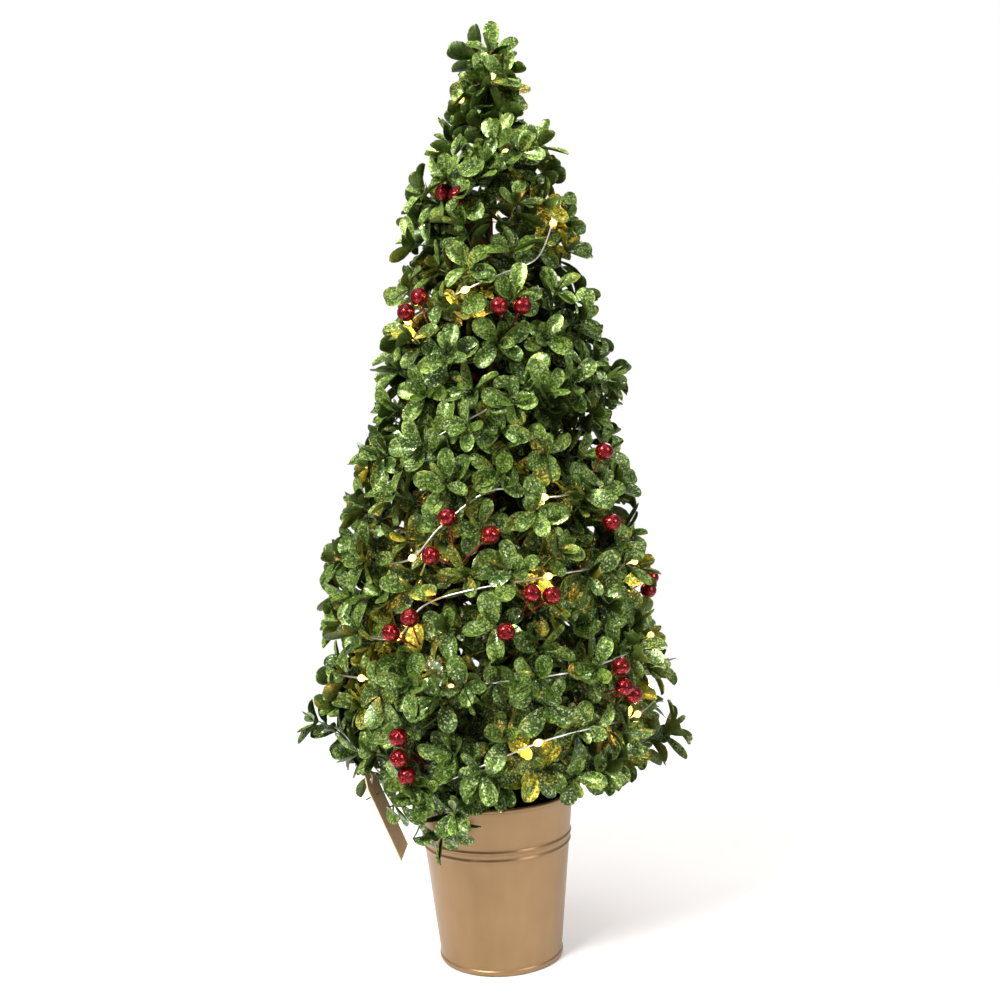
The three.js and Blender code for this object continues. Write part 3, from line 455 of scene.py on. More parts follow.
class Nodes:
    """A new material's nodes: node(...) makes one, and its inputs are values or sockets."""

    def __init__(self, name):
        self.material = bpy.data.materials.new(name)
        self.material.use_nodes = True
        self.tree = self.material.node_tree
        self.bsdf = self.tree.nodes["Principled BSDF"]

    def node(self, kind, inputs=None, **settings):
        made = self.tree.nodes.new(kind)
        for key, value in settings.items():
            setattr(made, key, value)
        for key, value in (inputs or {}).items():
            self.put(made.inputs[key], value)
        return made

    def put(self, socket, value):
        if isinstance(value, bpy.types.NodeSocket):
            self.tree.links.new(value, socket)
        else:
            socket.default_value = value

    def set(self, **inputs):
        names = {"color": "Base Color", "specular": "Specular IOR Level", "coat": "Coat Weight"}
        for key, value in inputs.items():
            name = names.get(key, key.replace("_", " ").title())
            self.put(self.bsdf.inputs[name], value)

    def coords(self, stretch=(1, 1, 1)):
        inputs = {"Vector": self.node("ShaderNodeTexCoord").outputs["Object"], "Scale": stretch}
        return self.node("ShaderNodeMapping", inputs).outputs["Vector"]

    def noise(self, scale, detail, stretch=(1, 1, 1)):
        inputs = {"Scale": scale, "Detail": detail, "Roughness": NOISE_ROUGHNESS}
        inputs["Vector"] = self.coords(stretch)
        return self.node("ShaderNodeTexNoise", inputs).outputs["Fac"]

    def cells(self, scale, output):
        inputs = {"Vector": self.coords(), "Scale": scale}
        return self.node("ShaderNodeTexVoronoi", inputs).outputs[output]

    def attribute(self, name):
        return self.node("ShaderNodeAttribute", attribute_name=name).outputs["Fac"]

    def math(self, operation, a, b):
        return self.node("ShaderNodeMath", {0: a, 1: b}, operation=operation).outputs[0]

    def map(self, value, low, high, to_low=0.0, to_high=1.0):
        inputs = {"Value": value, "From Min": low, "From Max": high}
        inputs.update({"To Min": to_low, "To Max": to_high})
        return self.node("ShaderNodeMapRange", inputs).outputs["Result"]

    def mix(self, share, a, b):
        made = self.node("ShaderNodeMix", {0: share, 6: a, 7: b}, data_type="RGBA")
        return made.outputs[2]

    def ramp(self, value, *stops):
        made = self.node("ShaderNodeValToRGB", {"Fac": value})
        elements = made.color_ramp.elements
        while len(elements) < len(stops):
            elements.new(0.5)
        for element, (position, color) in zip(elements, stops):
            element.position = position
            element.color = (*color, 1)
        return made.outputs["Color"]

    def flakes(self, scale):
        """Two random numbers for each flake of glitter."""
        parts = self.node("ShaderNodeSeparateColor", {"Color": self.cells(scale, "Color")})
        return parts.outputs["Red"], parts.outputs["Green"]

    def bump(self, height, strength, distance):
        inputs = {"Height": height, "Strength": strength, "Distance": distance * MM}
        self.put(self.bsdf.inputs["Normal"], self.node("ShaderNodeBump", inputs).outputs["Normal"])


def leaf_material():
    """Green film with glitter: each flake has its own colour, and the underside is darker. Each
    leaf's tone also carries painted shade and painted light: leaves deeper in the foliage are
    painted darker and leaves higher up lighter, over a random spread.
    """
    n = Nodes("leaf_glitter")
    pick, pick2 = n.flakes(1050)
    under = n.attribute("under")
    parts = (
        # tone: painted shade (darker deeper in the foliage) and painted light (lighter higher up),
        # with a random spread for each leaf
        n.math("MULTIPLY", n.attribute("tone"), 0.34),
        n.map(n.noise(150, 2), 0.3, 0.7, -0.14, 0.12),
        n.math("MULTIPLY", n.math("POWER", n.attribute("rim"), 5.0), 0.18),
        n.map(n.attribute("along"), 0, 1, -0.1, 0.07),
    )
    value = n.math("MULTIPLY", pick, 0.46)
    for part in parts:
        value = n.math("ADD", value, part)
    green = n.ramp(
        value,
        (0.0, (0.006, 0.016, 0.0015)),
        (0.3, (0.026, 0.062, 0.005)),
        (0.55, (0.092, 0.168, 0.013)),
        (0.8, (0.29, 0.41, 0.062)),
        (1.0, (0.64, 0.75, 0.26)),
    )
    sparkle = n.map(pick2, 0.80, 0.90)
    bright = n.mix(n.math("MULTIPLY", sparkle, 0.5), green, (0.72, 0.82, 0.38, 1))
    below = n.ramp(value, (0.0, (0.007, 0.016, 0.0015)), (1.0, (0.10, 0.165, 0.022)))
    color = n.mix(n.math("MULTIPLY", under, 0.9), bright, below)
    metal = n.math("ADD", n.map(under, 0, 1, 0.36, 0.25), n.math("MULTIPLY", sparkle, 0.2))
    n.set(color=color, metallic=metal, roughness=n.map(pick2, 0, 1, 0.48, 0.28), specular=0.5)
    n.bump(pick, 0.6, 0.2)
    return n.material


def berry_material():
    n = Nodes("berry_glitter")
    pick, pick2 = n.flakes(1300)
    base = n.ramp(
        pick,
        (0.0, (0.035, 0.0002, 0.0006)),
        (0.6, (0.17, 0.001, 0.003)),
        (1.0, (0.42, 0.006, 0.010)),
    )
    sparkle = n.map(pick2, 0.9, 0.92)
    color = n.mix(n.math("MULTIPLY", sparkle, 0.6), base, (0.85, 0.10, 0.08, 1))
    metal = n.map(sparkle, 0, 1, 0.75, 0.95)
    n.set(color=color, metallic=metal, roughness=n.map(pick, 0, 1, 0.3, 0.16), coat=0.2)
    n.bump(pick, 0.45, 0.12)
    return n.material


def pot_material():
    """Dull gold paint on sheet metal, clouded and brushed downwards."""
    n = Nodes("pot_gold_paint")
    cloud = n.math("MULTIPLY", n.noise(22, 4), 0.6)
    streak = n.math("MULTIPLY", n.noise(60, 3, (1, 1, 0.12)), 0.4)
    fleck = n.noise(1400, 2)
    value = n.math("ADD", cloud, streak)
    tone = n.ramp(
        value,
        (0.3, (0.248, 0.150, 0.069)),
        (0.5, (0.288, 0.178, 0.084)),
        (0.7, (0.328, 0.209, 0.103)),
    )
    color = n.mix(n.map(fleck, 0.35, 0.65, 0, 0.2), tone, (0.30, 0.162, 0.070, 1))
    rough = n.map(value, 0.3, 0.7, 0.42, 0.32)
    n.set(color=color, metallic=0.62, roughness=rough, specular=0.5)
    n.bump(fleck, 0.12, 0.05)
    return n.material


def grain_material(name, pattern, stops, roughness, bump, **settings):
    """A material whose colour and height follow one noise, and its gloss if it has a range."""
    n = Nodes(name)
    grain = n.noise(*pattern)
    if not np.isscalar(roughness):
        roughness = n.map(grain, 0.3, 0.7, *roughness)
    n.set(color=n.ramp(grain, *stops), roughness=roughness, **settings)
    n.bump(grain, *bump)
    return n.material


def stem_material(name, dark, light, scale):
    pattern = (scale, 3, (1, 1, 0.35))
    return grain_material(name, pattern, ((0.3, dark), (0.7, light)), (0.75, 0.5), (0.4, 0.15))


def metal_material(name, dark, light, roughness):
    pattern, stops = (900, 3, (1, 1, 3)), ((0.3, dark), (0.7, light))
    return grain_material(name, pattern, stops, roughness, (0.15, 0.04), metallic=1.0)


def moss_material():
    stops = ((0.3, (0.006, 0.008, 0.003)), (0.55, (0.03, 0.04, 0.014)), (0.75, (0.09, 0.085, 0.03)))
    return grain_material("moss", (700, 5), stops, 0.95, (0.9, 1.0), specular=0.1)


def plaster_material():
    stops = ((0.3, (0.48, 0.45, 0.39)), (0.7, (0.70, 0.67, 0.60)))
    return grain_material("ballast_plaster", (260, 5), stops, 0.92, (0.5, 0.4))


def twine_material():
    pattern = (1600, 4, (1, 1, 0.4))
    stops = ((0.3, (0.36, 0.26, 0.14)), (0.7, (0.68, 0.56, 0.37)))
    return grain_material("jute_twine", pattern, stops, 0.9, (0.6, 0.2), specular=0.15)


def foam_material():
    n = Nodes("foam_block")
    cells = n.cells(900, "Distance")
    color = n.ramp(cells, (0.0, (0.008, 0.012, 0.006)), (0.6, (0.03, 0.045, 0.02)))
    n.set(color=color, roughness=0.9, specular=0.15)
    n.bump(cells, 0.6, 0.4)
    return n.material


def plastic_material():
    n = Nodes("box_black")
    grain = n.noise(2600, 2)
    color = n.ramp(n.noise(70, 4), (0.35, (0.008, 0.009, 0.008)), (0.75, (0.028, 0.030, 0.028)))
    n.set(color=color, roughness=n.map(grain, 0.3, 0.7, 0.42, 0.62), specular=0.4)
    n.bump(grain, 0.35, 0.06)
    return n.material


def cell_material():
    """A plain cell's green wrap, with a copper band above it."""
    n = Nodes("cell_wrap")
    up = n.node("ShaderNodeSeparateXYZ", {"Vector": n.coords()}).outputs["Z"]
    scuff = n.noise(300, 4)
    wrap = n.ramp(scuff, (0.3, (0.012, 0.075, 0.035)), (0.75, (0.035, 0.15, 0.075)))
    band = n.map(up, CELL_BAND * MM, (CELL_BAND + 0.1) * MM)
    color = n.mix(band, wrap, (0.62, 0.36, 0.13, 1))
    metal, rough = n.map(band, 0, 1, 0.25, 0.8), n.map(scuff, 0.3, 0.7, 0.25, 0.4)
    n.set(color=color, metallic=metal, roughness=rough)
    n.bump(scuff, 0.1, 0.05)
    return n.material


def card_material():
    n = Nodes("kraft_card")
    fibre = n.noise(900, 5, (1, 3, 1))
    color = n.ramp(
        fibre,
        (0.3, (0.62, 0.43, 0.25)),
        (0.55, (0.73, 0.53, 0.33)),
        (0.75, (0.80, 0.62, 0.41)),
    )
    color = n.mix(n.map(n.noise(60, 3), 0.3, 0.7, 0, 0.25), color, (0.66, 0.46, 0.27, 1))
    n.set(color=color, roughness=0.7, specular=0.3)
    n.bump(fibre, 0.3, 0.1)
    return n.material


def bead_material():
    """Lit resin: white hot in the middle of a bead, and amber at its ends."""
    n = Nodes("lit_bead")
    grain = n.noise(900, 2)
    glow = n.math("ADD", n.attribute("along"), n.map(grain, 0.3, 0.7, -0.1, 0.1))
    rough = n.map(grain, 0.3, 0.7, 0.05, 0.15)
    amber = n.ramp(
        glow,
        (0.1, (0.9, 0.34, 0.04)),
        (0.5, (1.0, 0.55, 0.11)),
        (0.85, (1.0, 0.80, 0.38)),
    )
    n.set(color=(0.9, 0.7, 0.4, 1), roughness=rough, coat=1.0)
    n.set(emission_color=amber, emission_strength=2.8)
    return n.material


# ---- Pot ----


def pot_radius(z):
    return POT_BASE_RADIUS + (POT_RIM_RADIUS - POT_BASE_RADIUS) * z / POT_HEIGHT


def raised(z, centre, half, proud):
    """Height of a smooth raised ring at z."""
    away = abs(z - centre) / half
    return proud * 0.5 * (1 + math.cos(math.pi * away)) if away < 1 else 0


def pot_profile():
    """The wall's closed profile of (radius, height), up its outside and down its inside."""
    points = []
    for i in range(11):
        z = FOOT_BEAD * i / 10
        round_out = math.sqrt(max(0, 1 - (2 * z / FOOT_BEAD - 1) ** 2))
        points.append((pot_radius(z) + FOOT_PROUD * round_out, z))
    top = POT_HEIGHT - 2 * RIM_ROLL
    heights = [FOOT_BEAD + 0.35, FOOT_BEAD + 1.2, 12, 24, 40, 56, 68, 73, 87, 95, 103, top - 0.6]
    for centre in BEAD_HEIGHTS:
        heights += [centre + BEAD_HALF * s / 5 for s in range(-5, 6)]
    for z in sorted(set(heights)):
        out = sum(raised(z, centre, BEAD_HALF, BEAD_PROUD) for centre in BEAD_HEIGHTS)
        points.append((pot_radius(z) + out, z))
    for angle in range(-70, 200, 18):
        a = math.radians(angle)
        high = POT_HEIGHT - RIM_ROLL * (1 - math.sin(a))
        points.append((POT_RIM_RADIUS + RIM_ROLL * math.cos(a), high))
    for z in (top, 96, 80, 60, 40, 20, 2, 0):
        points.append((pot_radius(z) - POT_WALL, z))
    return points


def add_pot(materials):
    """The pot's wall, with the lap of its seam at the back."""
    seam, half, lap_proud = math.pi / 2, math.radians(2.2), 0.35
    angles = sorted({*turns(120), *(seam + half * s / 4 for s in range(-4, 5))})

    def lap(angle, radius, z):
        inside = radius < pot_radius(z) - POT_WALL / 2
        if inside or not FOOT_BEAD < z < POT_HEIGHT - 2 * RIM_ROLL:
            return 0
        away = (angle - seam) / half
        return lap_proud * (1 - away**4) if abs(away) < 1 else 0

    build = Build()
    build.add(*lathe(pot_profile(), angles, lap))
    build.finish("pot_body", [materials["pot"]], "tree", ["pot_shell"])


MOSS_TUFTS = 420


def add_moss(materials):
    """A lumpy bed of moss on the foam, round the trunk and under the battery box."""
    build = Build()
    rings, sides, inner = 16, 72, trunk_radius(FOAM_TOP) + 0.4
    outer = (pot_radius(FOAM_TOP) - POT_WALL) - 0.6
    verts = []
    for r in range(rings):
        radius = inner + (outer - inner) * r / (rings - 1)
        for angle in turns(sides):
            x, y, _ = polar(radius, angle, 0)
            lump = noise.noise(Vector((x * 0.12, y * 0.12, 3)))
            lump += 0.5 * noise.noise(Vector((x * 0.4, y * 0.4, 9)))
            under_box = abs(x) < BOX_HALF + 2 and BOX_FROM_AXIS - 2 < y < BOX_BACK + 2
            high = 0.15 if under_box else 2.2 + 2.4 * lump
            verts.append((x, y, FOAM_TOP + (0.1 if r in (0, rings - 1) else max(0.15, high))))
    faces = ring_faces(rings, sides, caps=False)
    base = len(verts)
    for radius in (inner, outer):
        verts += [polar(radius, angle, FOAM_TOP + 0.02) for angle in turns(sides)]
    last = (rings - 1) * sides
    for s in range(sides):
        t = (s + 1) % sides
        faces.append((t, s, base + s, base + t))
        faces.append((last + s, last + t, base + sides + t, base + sides + s))
        faces.append((base + s, base + sides + s, base + sides + t, base + t))
    build.add(verts, faces)
    for i in range(MOSS_TUFTS):
        radius = inner + 2 + (outer - inner - 5) * math.sqrt(chance(i, 51))
        foot = Vector(polar(radius, 2 * math.pi * chance(i, 52), FOAM_TOP + 0.8))
        if abs(foot.x) < BOX_HALF + 4 and BOX_FROM_AXIS - 4 < foot.y < BOX_BACK + 4:
            continue
        lean = Vector(polar(2 + 4 * chance(i, 54), 2 * math.pi * chance(i, 53), 0))
        tall = Vector((0, 0, 3 + 3.5 * chance(i, 55)))
        bends = ((0, 0), (0.6, 0.3), (1, 0.7), (0.9, 1.3))
        path = [foot + tall * up + lean * over for up, over in bends]
        end = path[-1]
        if math.hypot(end.x, end.y) > outer - 0.8:
            continue
        build.add(*tube(path, [0.32, 0.3, 0.24, 0.1], 4))
    build.finish("moss_bed", [materials["moss"]], "tree")


def add_trunk(materials):
    """The trunk with the tape that is wound round it in a spiral."""
    low, pitch, lap = FOAM_TOP - TRUNK_DEPTH, 9, 0.09
    rows = round((TRUNK_TOP - low) / 1.5)
    path = [place(0, 0, low + (TRUNK_TOP - low) * i / rows) for i in range(rows + 1)]
    radii = [trunk_radius(p.z) - 0.35 for p in path]

    def wound(i, angle):
        return 1 + lap * ((path[i].z / pitch - angle / (2 * math.pi)) % 1)

    build = Build()
    build.add(*tube(path, radii, 20, wound))
    build.finish("trunk_wound", [materials["bark"]], "tree", ["trunk"])


# ---- Light string ----

LED_POWER = 0.062
LED_HIDDEN = 0.1  # a light under leaves shines by this share
LED_COLOR = (1.0, 0.44, 0.1)


def add_light_string(materials):
    """A thin wire, of two that are twisted together, with a drop of resin over each light."""
    points = lead_points() + [light_point(light) for light in LIGHTS]
    path = smooth_path(points, 1.6)
    frames = frames_along(path)

    def twisted(i, angle):
        return 0.95 + 0.05 * abs(math.cos(angle + i * 0.35))

    build = Build()
    build.add(*tube(path, WIRE_RADIUS, 8, twisted))
    build.finish("light_wire", [materials["wire"]], "tree", ["light_string"])
    beads = Build()
    spots = [-1 + 2 * s / 10 for s in range(11)]
    radii = [max(0.75, BULB_RADIUS * math.sqrt(max(0, 1 - t * t)) ** 1.1) for t in spots]
    core = np.repeat([1 - abs(t) for t in spots], 12)
    for centre in bulb_centres:
        i = min(range(len(path)), key=lambda j: (path[j] - centre).length_squared)
        drop = [path[i] + frames[i][0] * (t * BULB_LENGTH / 2) for t in spots]
        beads.add(*tube(drop, radii, 12), along=core)
    made = beads.finish("light_beads", [materials["bead"]], "tree")
    made.visible_shadow = False
    for i, (centre, light) in enumerate(zip(bulb_centres, lit)):
        lamp = bpy.data.lights.new(f"bead_glow_{i:02d}", "POINT")
        lamp.energy = LED_POWER * (LED_HIDDEN if light[0] in COVERED else 1)
        lamp.color = LED_COLOR
        lamp.shadow_soft_size = 1.5 * BULB_RADIUS * MM
        add_object(lamp.name, lamp).location = centre * MM


# ---- Berry picks ----


def berry(build, centre, outward, seed):
    """A ball with a dimple at the end away from its stalk."""
    rows, sides, dimple, dimple_angle = 15, 20, 0.9, 0.42
    pole = outward.normalized()
    side = pole.cross(Vector((0.3, 0.2, 1))).normalized()
    over = pole.cross(side)
    verts = []
    for r in range(rows):
        angle = math.pi * (r + 0.35) / (rows - 0.3)
        reach = BERRY_RADIUS * math.sin(angle)
        high = BERRY_RADIUS * math.cos(angle)
        if angle < dimple_angle:
            high -= dimple * (1 + math.cos(math.pi * angle / dimple_angle)) / 2
        for a in turns(sides):
            uneven = 1 + 0.012 * math.sin(3 * a + seed) * math.sin(angle)
            out = side * math.cos(a) + over * math.sin(a)
            verts.append(tuple(centre + pole * high + out * (reach * uneven)))
    faces = [tuple(reversed(f)) for f in ring_faces(rows, sides)]
    build.add(verts, faces)


def add_pick(pick, materials):
    """A pick's stalk from the trunk to its fork, then a stalk and a berry for each place."""
    name, azimuth, share, _ = pick
    z = height_at(share)
    drop = 0.3 * outline_radius(z)
    start = z - 10 - drop
    fork = place(azimuth, outline_radius(z) - 26, z - 10)
    middle = place(azimuth, 0.45 * (outline_radius(z) - 26), z - 10 - 0.75 * drop)
    foot = place(azimuth, trunk_radius(start) + GAP + PICK_RADIUS, start)
    build = Build()
    add_rod(build, (foot, middle, fork), PICK_RADIUS, 12, 8)
    knot = bezier(foot, middle, fork, 0.985)
    for i, centre in enumerate(berry_centres(pick)):
        bend = (knot + centre) / 2 + Vector((0, 0, -1.5 + 3 * chance(i, len(name))))
        add_rod(build, (knot, bend, centre), STALK_RADIUS, 8, 7)
        berry(build, centre, centre - knot, i)
    both = [materials["berry"], materials["berry_stem"]]
    build.finish("berries_" + name, both, "tree", ["berry_pick_" + name])


# ---- Hang tag ----


def tag_frame():
    """The tag's own axes, with its knot at the origin: the card hangs down -Z."""
    slant = Matrix.Rotation(math.radians(-TAG_SLANT), 4, "Y")
    return Matrix.Translation(TAG_KNOT) @ slant @ Matrix.Rotation(math.radians(-TAG_TURN), 4, "Z")


def add_twine(materials):
    """A loop of twisted twine through the card's hole, tied at the twig."""
    side, low = 1.6, -TAG_LOOP
    down = [(0, 0, 0), (-side, 0, low * 0.45), (-side, 0, low + 1), (0, 0, low - 0.4)]
    points = [Vector(p) for p in down] + [Vector((-x, y, z)) for x, y, z in down[2::-1]]
    path = smooth_path(points, 0.7)
    turn = tag_frame()
    build = Build()

    def strands(i, angle):
        return 0.85 + 0.22 * abs(math.cos(angle + i * 0.55))

    build.add(*tube([turn @ p for p in path], 0.6, 10, strands))
    knot = []
    for i in range(25):
        a = 4 * math.pi * i / 24
        knot.append(turn @ Vector((1.05 * math.cos(a), 0.9 * math.sin(a), 0.8 * math.sin(a * 0.5))))
    build.add(*tube(knot, 0.62, 8))
    build.finish("tag_twine", [materials["twine"]], "tag", ["tag_string"])


# ---- Foliage ----

INNER_SPRIGS = 5  # short sprigs inside each branch's foliage
INNER_RADIUS = 0.7
TIP_INSET = 0.62  # a twig ends this share of a leaf inside the outline
AIRY_ABOVE = 480  # the foliage is thinner above this height

# Whorls of leaves down a twig: millimetres back from its tip, leaves, tone. The tone is painted
# shade: whorls further back, deeper in the foliage, are painted darker.
WHORLS = ((11, 3, 0.42), (22, 3, 0.2), (34, 3, 0.06), (46, 3, 0.0), (58, 2, 0.0))

# A leaf's rows of vertices as shares of its length, and its width at each.
ROWS = (0.0, 0.14, 0.34, 0.55, 0.74, 0.88, 0.965)
WIDTHS = (0.10, 0.36, 0.77, 1.0, 0.97, 0.75, 0.45)
ACROSS = (-1.0, -0.5, 0.0, 0.5, 1.0)


def leaf_template():
    """Each vertex as (along, across, is it on the underside), then the faces."""
    spots, faces, under = [], [], []
    top = []
    for t, w in zip(ROWS, WIDTHS):
        top.append([len(spots) + i for i in range(5)])
        spots += [(t, a, w, 0) for a in ACROSS]
    tip = len(spots)
    spots.append((1.0, 0.0, 0.0, 0))
    below = [top[0]]
    for row, t, w in zip(top[1:], ROWS[1:], WIDTHS[1:]):
        start = len(spots)
        spots += [(t, a, w, 1) for a in ACROSS[1:4]]
        below.append([row[0], start, start + 1, start + 2, row[4]])
    for rows, is_under in ((top, 0), (below, 1)):
        for a, b in zip(rows, rows[1:]):
            for i in range(4):
                face = (a[i], a[i + 1], b[i + 1], b[i])
                faces.append(face if not is_under else tuple(reversed(face)))
                under.append(is_under)
        last = rows[-1]
        for i in range(4):
            face = (last[i], last[i + 1], tip)
            faces.append(face if not is_under else tuple(reversed(face)))
            under.append(is_under)
    return np.array(spots), faces, np.array(under, float)


SPOTS, LEAF_FACES, LEAF_UNDER = leaf_template()
LEAF_RIM = np.where(SPOTS[:, 2] == 0, 1.0, np.abs(SPOTS[:, 1]))


LEAF_THICK = 0.5
LEAF_CREASE = 0.22  # depth of the crease down the middle
STRAIGHT = 1e-3  # least bend, so that nothing divides by nought


class Leaf:
    """A leaf from its base along its way: bend curls it lengthwise, and cup across."""

    def __init__(self, base, way, face, length, width, bend, cup, tone):
        self.base, self.way, self.length, self.width = base, way.normalized(), length, width
        self.face = (face - self.way * face.dot(self.way)).normalized()
        self.bend = bend if abs(bend) > STRAIGHT else STRAIGHT
        # tone holds the leaf's painted shade and painted light as well as its random spread
        self.cup, self.tone = cup, tone

    def arc(self, t):
        """How far forward and how far down the middle line is at a share of its length."""
        turn = self.bend * t
        return self.length * np.sin(turn) / self.bend, self.length * (1 - np.cos(turn)) / self.bend

    def point(self, t):
        forward, down = self.arc(t)
        return self.base + self.way * float(forward) - self.face * float(down)

    def write(self, build):
        t, a, w, low = SPOTS.T
        forward, down = self.arc(t)
        side = self.width / 2 * w * a
        lift = self.cup * self.width / 2 * w * a**2
        lift = lift - low * LEAF_THICK * np.minimum(1, 4 * (1 - t))
        lift = lift - LEAF_CREASE * (1 - low) * (1 - np.abs(a)) * (w > 0.3)
        way, face = np.array(self.way), np.array(self.face)
        turn = self.bend * t
        normal = np.outer(np.cos(turn), face) + np.outer(np.sin(turn), way)
        verts = np.array(self.base) + np.outer(forward, way) - np.outer(down, face)
        verts = verts + np.outer(side, np.cross(face, way)) + normal * lift[:, None]
        build.add(verts, LEAF_FACES, 0, self.tone, LEAF_RIM, t, LEAF_UNDER)


def rows_of(points):
    return np.array([tuple(p) for p in points])


shown_lights = rows_of(light_point(light) for light in lit if light[0] not in COVERED)
shown_berries = rows_of(c for p in PICKS if p[0] != PICK_COVERED for c in berry_centres(p))
hidden_berries = rows_of(c for p in PICKS if p[0] == PICK_COVERED for c in berry_centres(p))


def hides(point, centres, clear):
    """True if the point is inside a ball round one of the centres, or just outside it."""
    p = np.array(point)
    away = p - centres
    out = centres.copy()
    out[:, 0] -= LEAN * (centres[:, 2] - FOAM_TOP)
    out[:, 2] = 0
    out /= np.linalg.norm(out, axis=1)[:, None] + 1e-9
    forward = np.clip((away * out).sum(axis=1), 0, 40)
    off = np.linalg.norm(away - out * forward[:, None], axis=1)
    return bool((off < clear).any())


def in_pot_room(p, air):
    return p.z < POT_HEIGHT + air and math.hypot(p.x, p.y) < POT_RIM_RADIUS + RIM_ROLL + air


def in_box_room(p, air):
    return (
        abs(p.x) < BOX_HALF + air
        and BOX_FROM_AXIS - air < p.y < BOX_BACK + 2 + air
        and p.z < BOX_TOP + DOOR_TRAVEL + air
    )


def in_tag_room(p, air):
    """The card's way as it swings about its knot, away from the twig it is tied to."""
    away = p - TAG_KNOT
    if abs(away.y) > 15 + air + 1:
        return False
    reach = math.hypot(away.x, away.z)
    if reach < TAG_KNOT_RADIUS + air or reach > TAG_REACH + air:
        return reach < TAG_KNOT_RADIUS + air
    swing = math.degrees(math.atan2(-away.x, -away.z)) + TAG_SLANT
    spare = math.degrees(air / reach)
    return TAG_SWING[0] - spare < swing < TAG_SWING[1] + spare


def covers_card(p):
    """True in front of the two stretches of the card that show between the leaves."""
    right, down = p.x - TAG_KNOT.x, TAG_KNOT.z - p.z
    slant = math.radians(TAG_SLANT)
    along = right * math.sin(slant) + down * math.cos(slant)
    across = right * math.cos(slant) - down * math.sin(slant)
    return p.y < TAG_KNOT.y and abs(across - 2) < 9 and (6 < along < 30 or 42 < along < 68)


def leaf_is_clear(leaf):
    for t in (0.35, 0.7, 1.0):
        p = leaf.point(t)
        if in_pot_room(p, 1.5) or in_box_room(p, 3) or in_tag_room(p, 7) or covers_card(p):
            return False
        if np.linalg.norm(np.array(p) - hidden_berries, axis=1).min() < BERRY_RADIUS + 1:
            return False
        if hides(p, shown_berries, BERRY_RADIUS + 2.2) or hides(p, shown_lights, BULB_RADIUS + 3.2):
            return False
    return True


def whorl(build, rng, centre, axis, count, opening, length, phase, tone):
    """A ring of leaves round an axis. opening is the angle between each leaf and the axis."""
    side = axis.cross(Vector((0.02, 0.01, 1))).normalized()
    over = axis.cross(side)
    for i in range(count):
        turn = 2 * math.pi * (i + phase + rng.uniform(-0.2, 0.2)) / count
        out = side * math.cos(turn) + over * math.sin(turn)
        open_angle = math.radians(rng.uniform(*opening))
        way = axis * math.cos(open_angle) + out * math.sin(open_angle)
        size = rng.uniform(0.78, 1.12) * length
        # Painted light: leaves are painted lighter the higher they are above 430 mm, on top of the
        # whorl's painted depth shade
        light = tone + 0.3 * max(0, (centre.z - 430) / 170)
        face = axis + out.cross(axis) * rng.uniform(-0.9, 0.9)
        leaf = Leaf(
            centre + out * 0.5, way, face, size, size * rng.uniform(0.48, 0.61),
            rng.uniform(-0.35, 0.9), rng.uniform(0.1, 0.55), min(1, max(0, rng.gauss(light, 0.2))),
        )
        if leaf_is_clear(leaf):
            leaf.write(build)


TIP_ROUNDS = 45  # how often the twig tips push each other apart
TIP_SPACE = 35.0
LIGHT_SPACE = 17.0  # from a twig tip to a light or a berry that shows


def spread_tips():
    """Twig tips spread over the outline, pushed apart until they are even."""
    owners, points = [], []
    for k in range(BRANCHES):
        azimuth, z = branch_plan(k)
        for j in range(PATCH_TWIGS):
            spread = PATCH_RADIUS * math.sqrt((j + 0.5) / PATCH_TWIGS)
            angle = math.radians(j * BRANCH_TURN + 360 * chance(k, 1))
            height = z + min(spread * math.sin(angle), FOLIAGE_TOP - 12 - z)
            height = max(height, FOLIAGE_HEM + 2)
            radius = max(2, outline_radius(height) - LEAF_LENGTH * TIP_INSET)
            around = math.radians(azimuth) + spread * math.cos(angle) / max(radius, 18)
            owners.append((k, j))
            points.append([around, height])
    points = np.array(points)
    fixed = np.concatenate([shown_berries, shown_lights])
    for _ in range(TIP_ROUNDS):
        around, height = points.T
        radius = np.array([max(6, outline_radius(z) - 12) for z in height])
        cos, sin = np.cos(around), np.sin(around)
        at = np.stack([radius * cos, radius * sin, height], axis=1)
        push = np.zeros_like(at)
        for others, wanted in ((at, TIP_SPACE), (fixed, LIGHT_SPACE)):
            gap = at[:, None, :] - others[None, :, :]
            distance = np.linalg.norm(gap, axis=2) + 1e-6
            weight = np.clip(1 - distance / wanted, 0, None) * (distance > 1e-3)
            push += (gap / distance[:, :, None] * weight[:, :, None]).sum(axis=1) * 4.0
        points[:, 0] += (push[:, 1] * cos - push[:, 0] * sin) / np.maximum(radius, 12)
        low = np.array([FOLIAGE_HEM + 2 + hem_rise(math.degrees(a)) for a in points[:, 0]])
        points[:, 1] = np.clip(points[:, 1] + push[:, 2], low, FOLIAGE_TOP - 13)
    return dict(zip(owners, points))


def twig(build, rng, foot, tip, axis):
    """A twig that bends out to its tip, with whorls of leaves and a rosette at its end."""
    length = (tip - foot).length
    bend = tip - axis * min(14, 0.4 * length)
    add_rod(build, (foot, bend, tip), TWIG_RADIUS, 6, 5, 0.35)
    # The tip's rosette is painted lighter than the whorls further in: painted depth shade
    whorl(build, rng, tip, axis, 4, (40, 80), LEAF_LENGTH * 1.02, rng.random(), 0.62)
    whorl(build, rng, tip, axis, 2, (12, 45), LEAF_LENGTH * 0.78, rng.random(), 0.7)
    for back, count, tone in WHORLS:
        if back > 0.9 * length or (back > 25 and tip.z > AIRY_ABOVE):
            break
        t = 1 - back / length
        at = bezier(foot, bend, tip, t)
        near = bezier(foot, bend, tip, min(1, t + 0.05))
        way = (near - at).normalized()
        whorl(build, rng, at, way, count, (40, 88), LEAF_LENGTH * 1.05, rng.random(), tone)


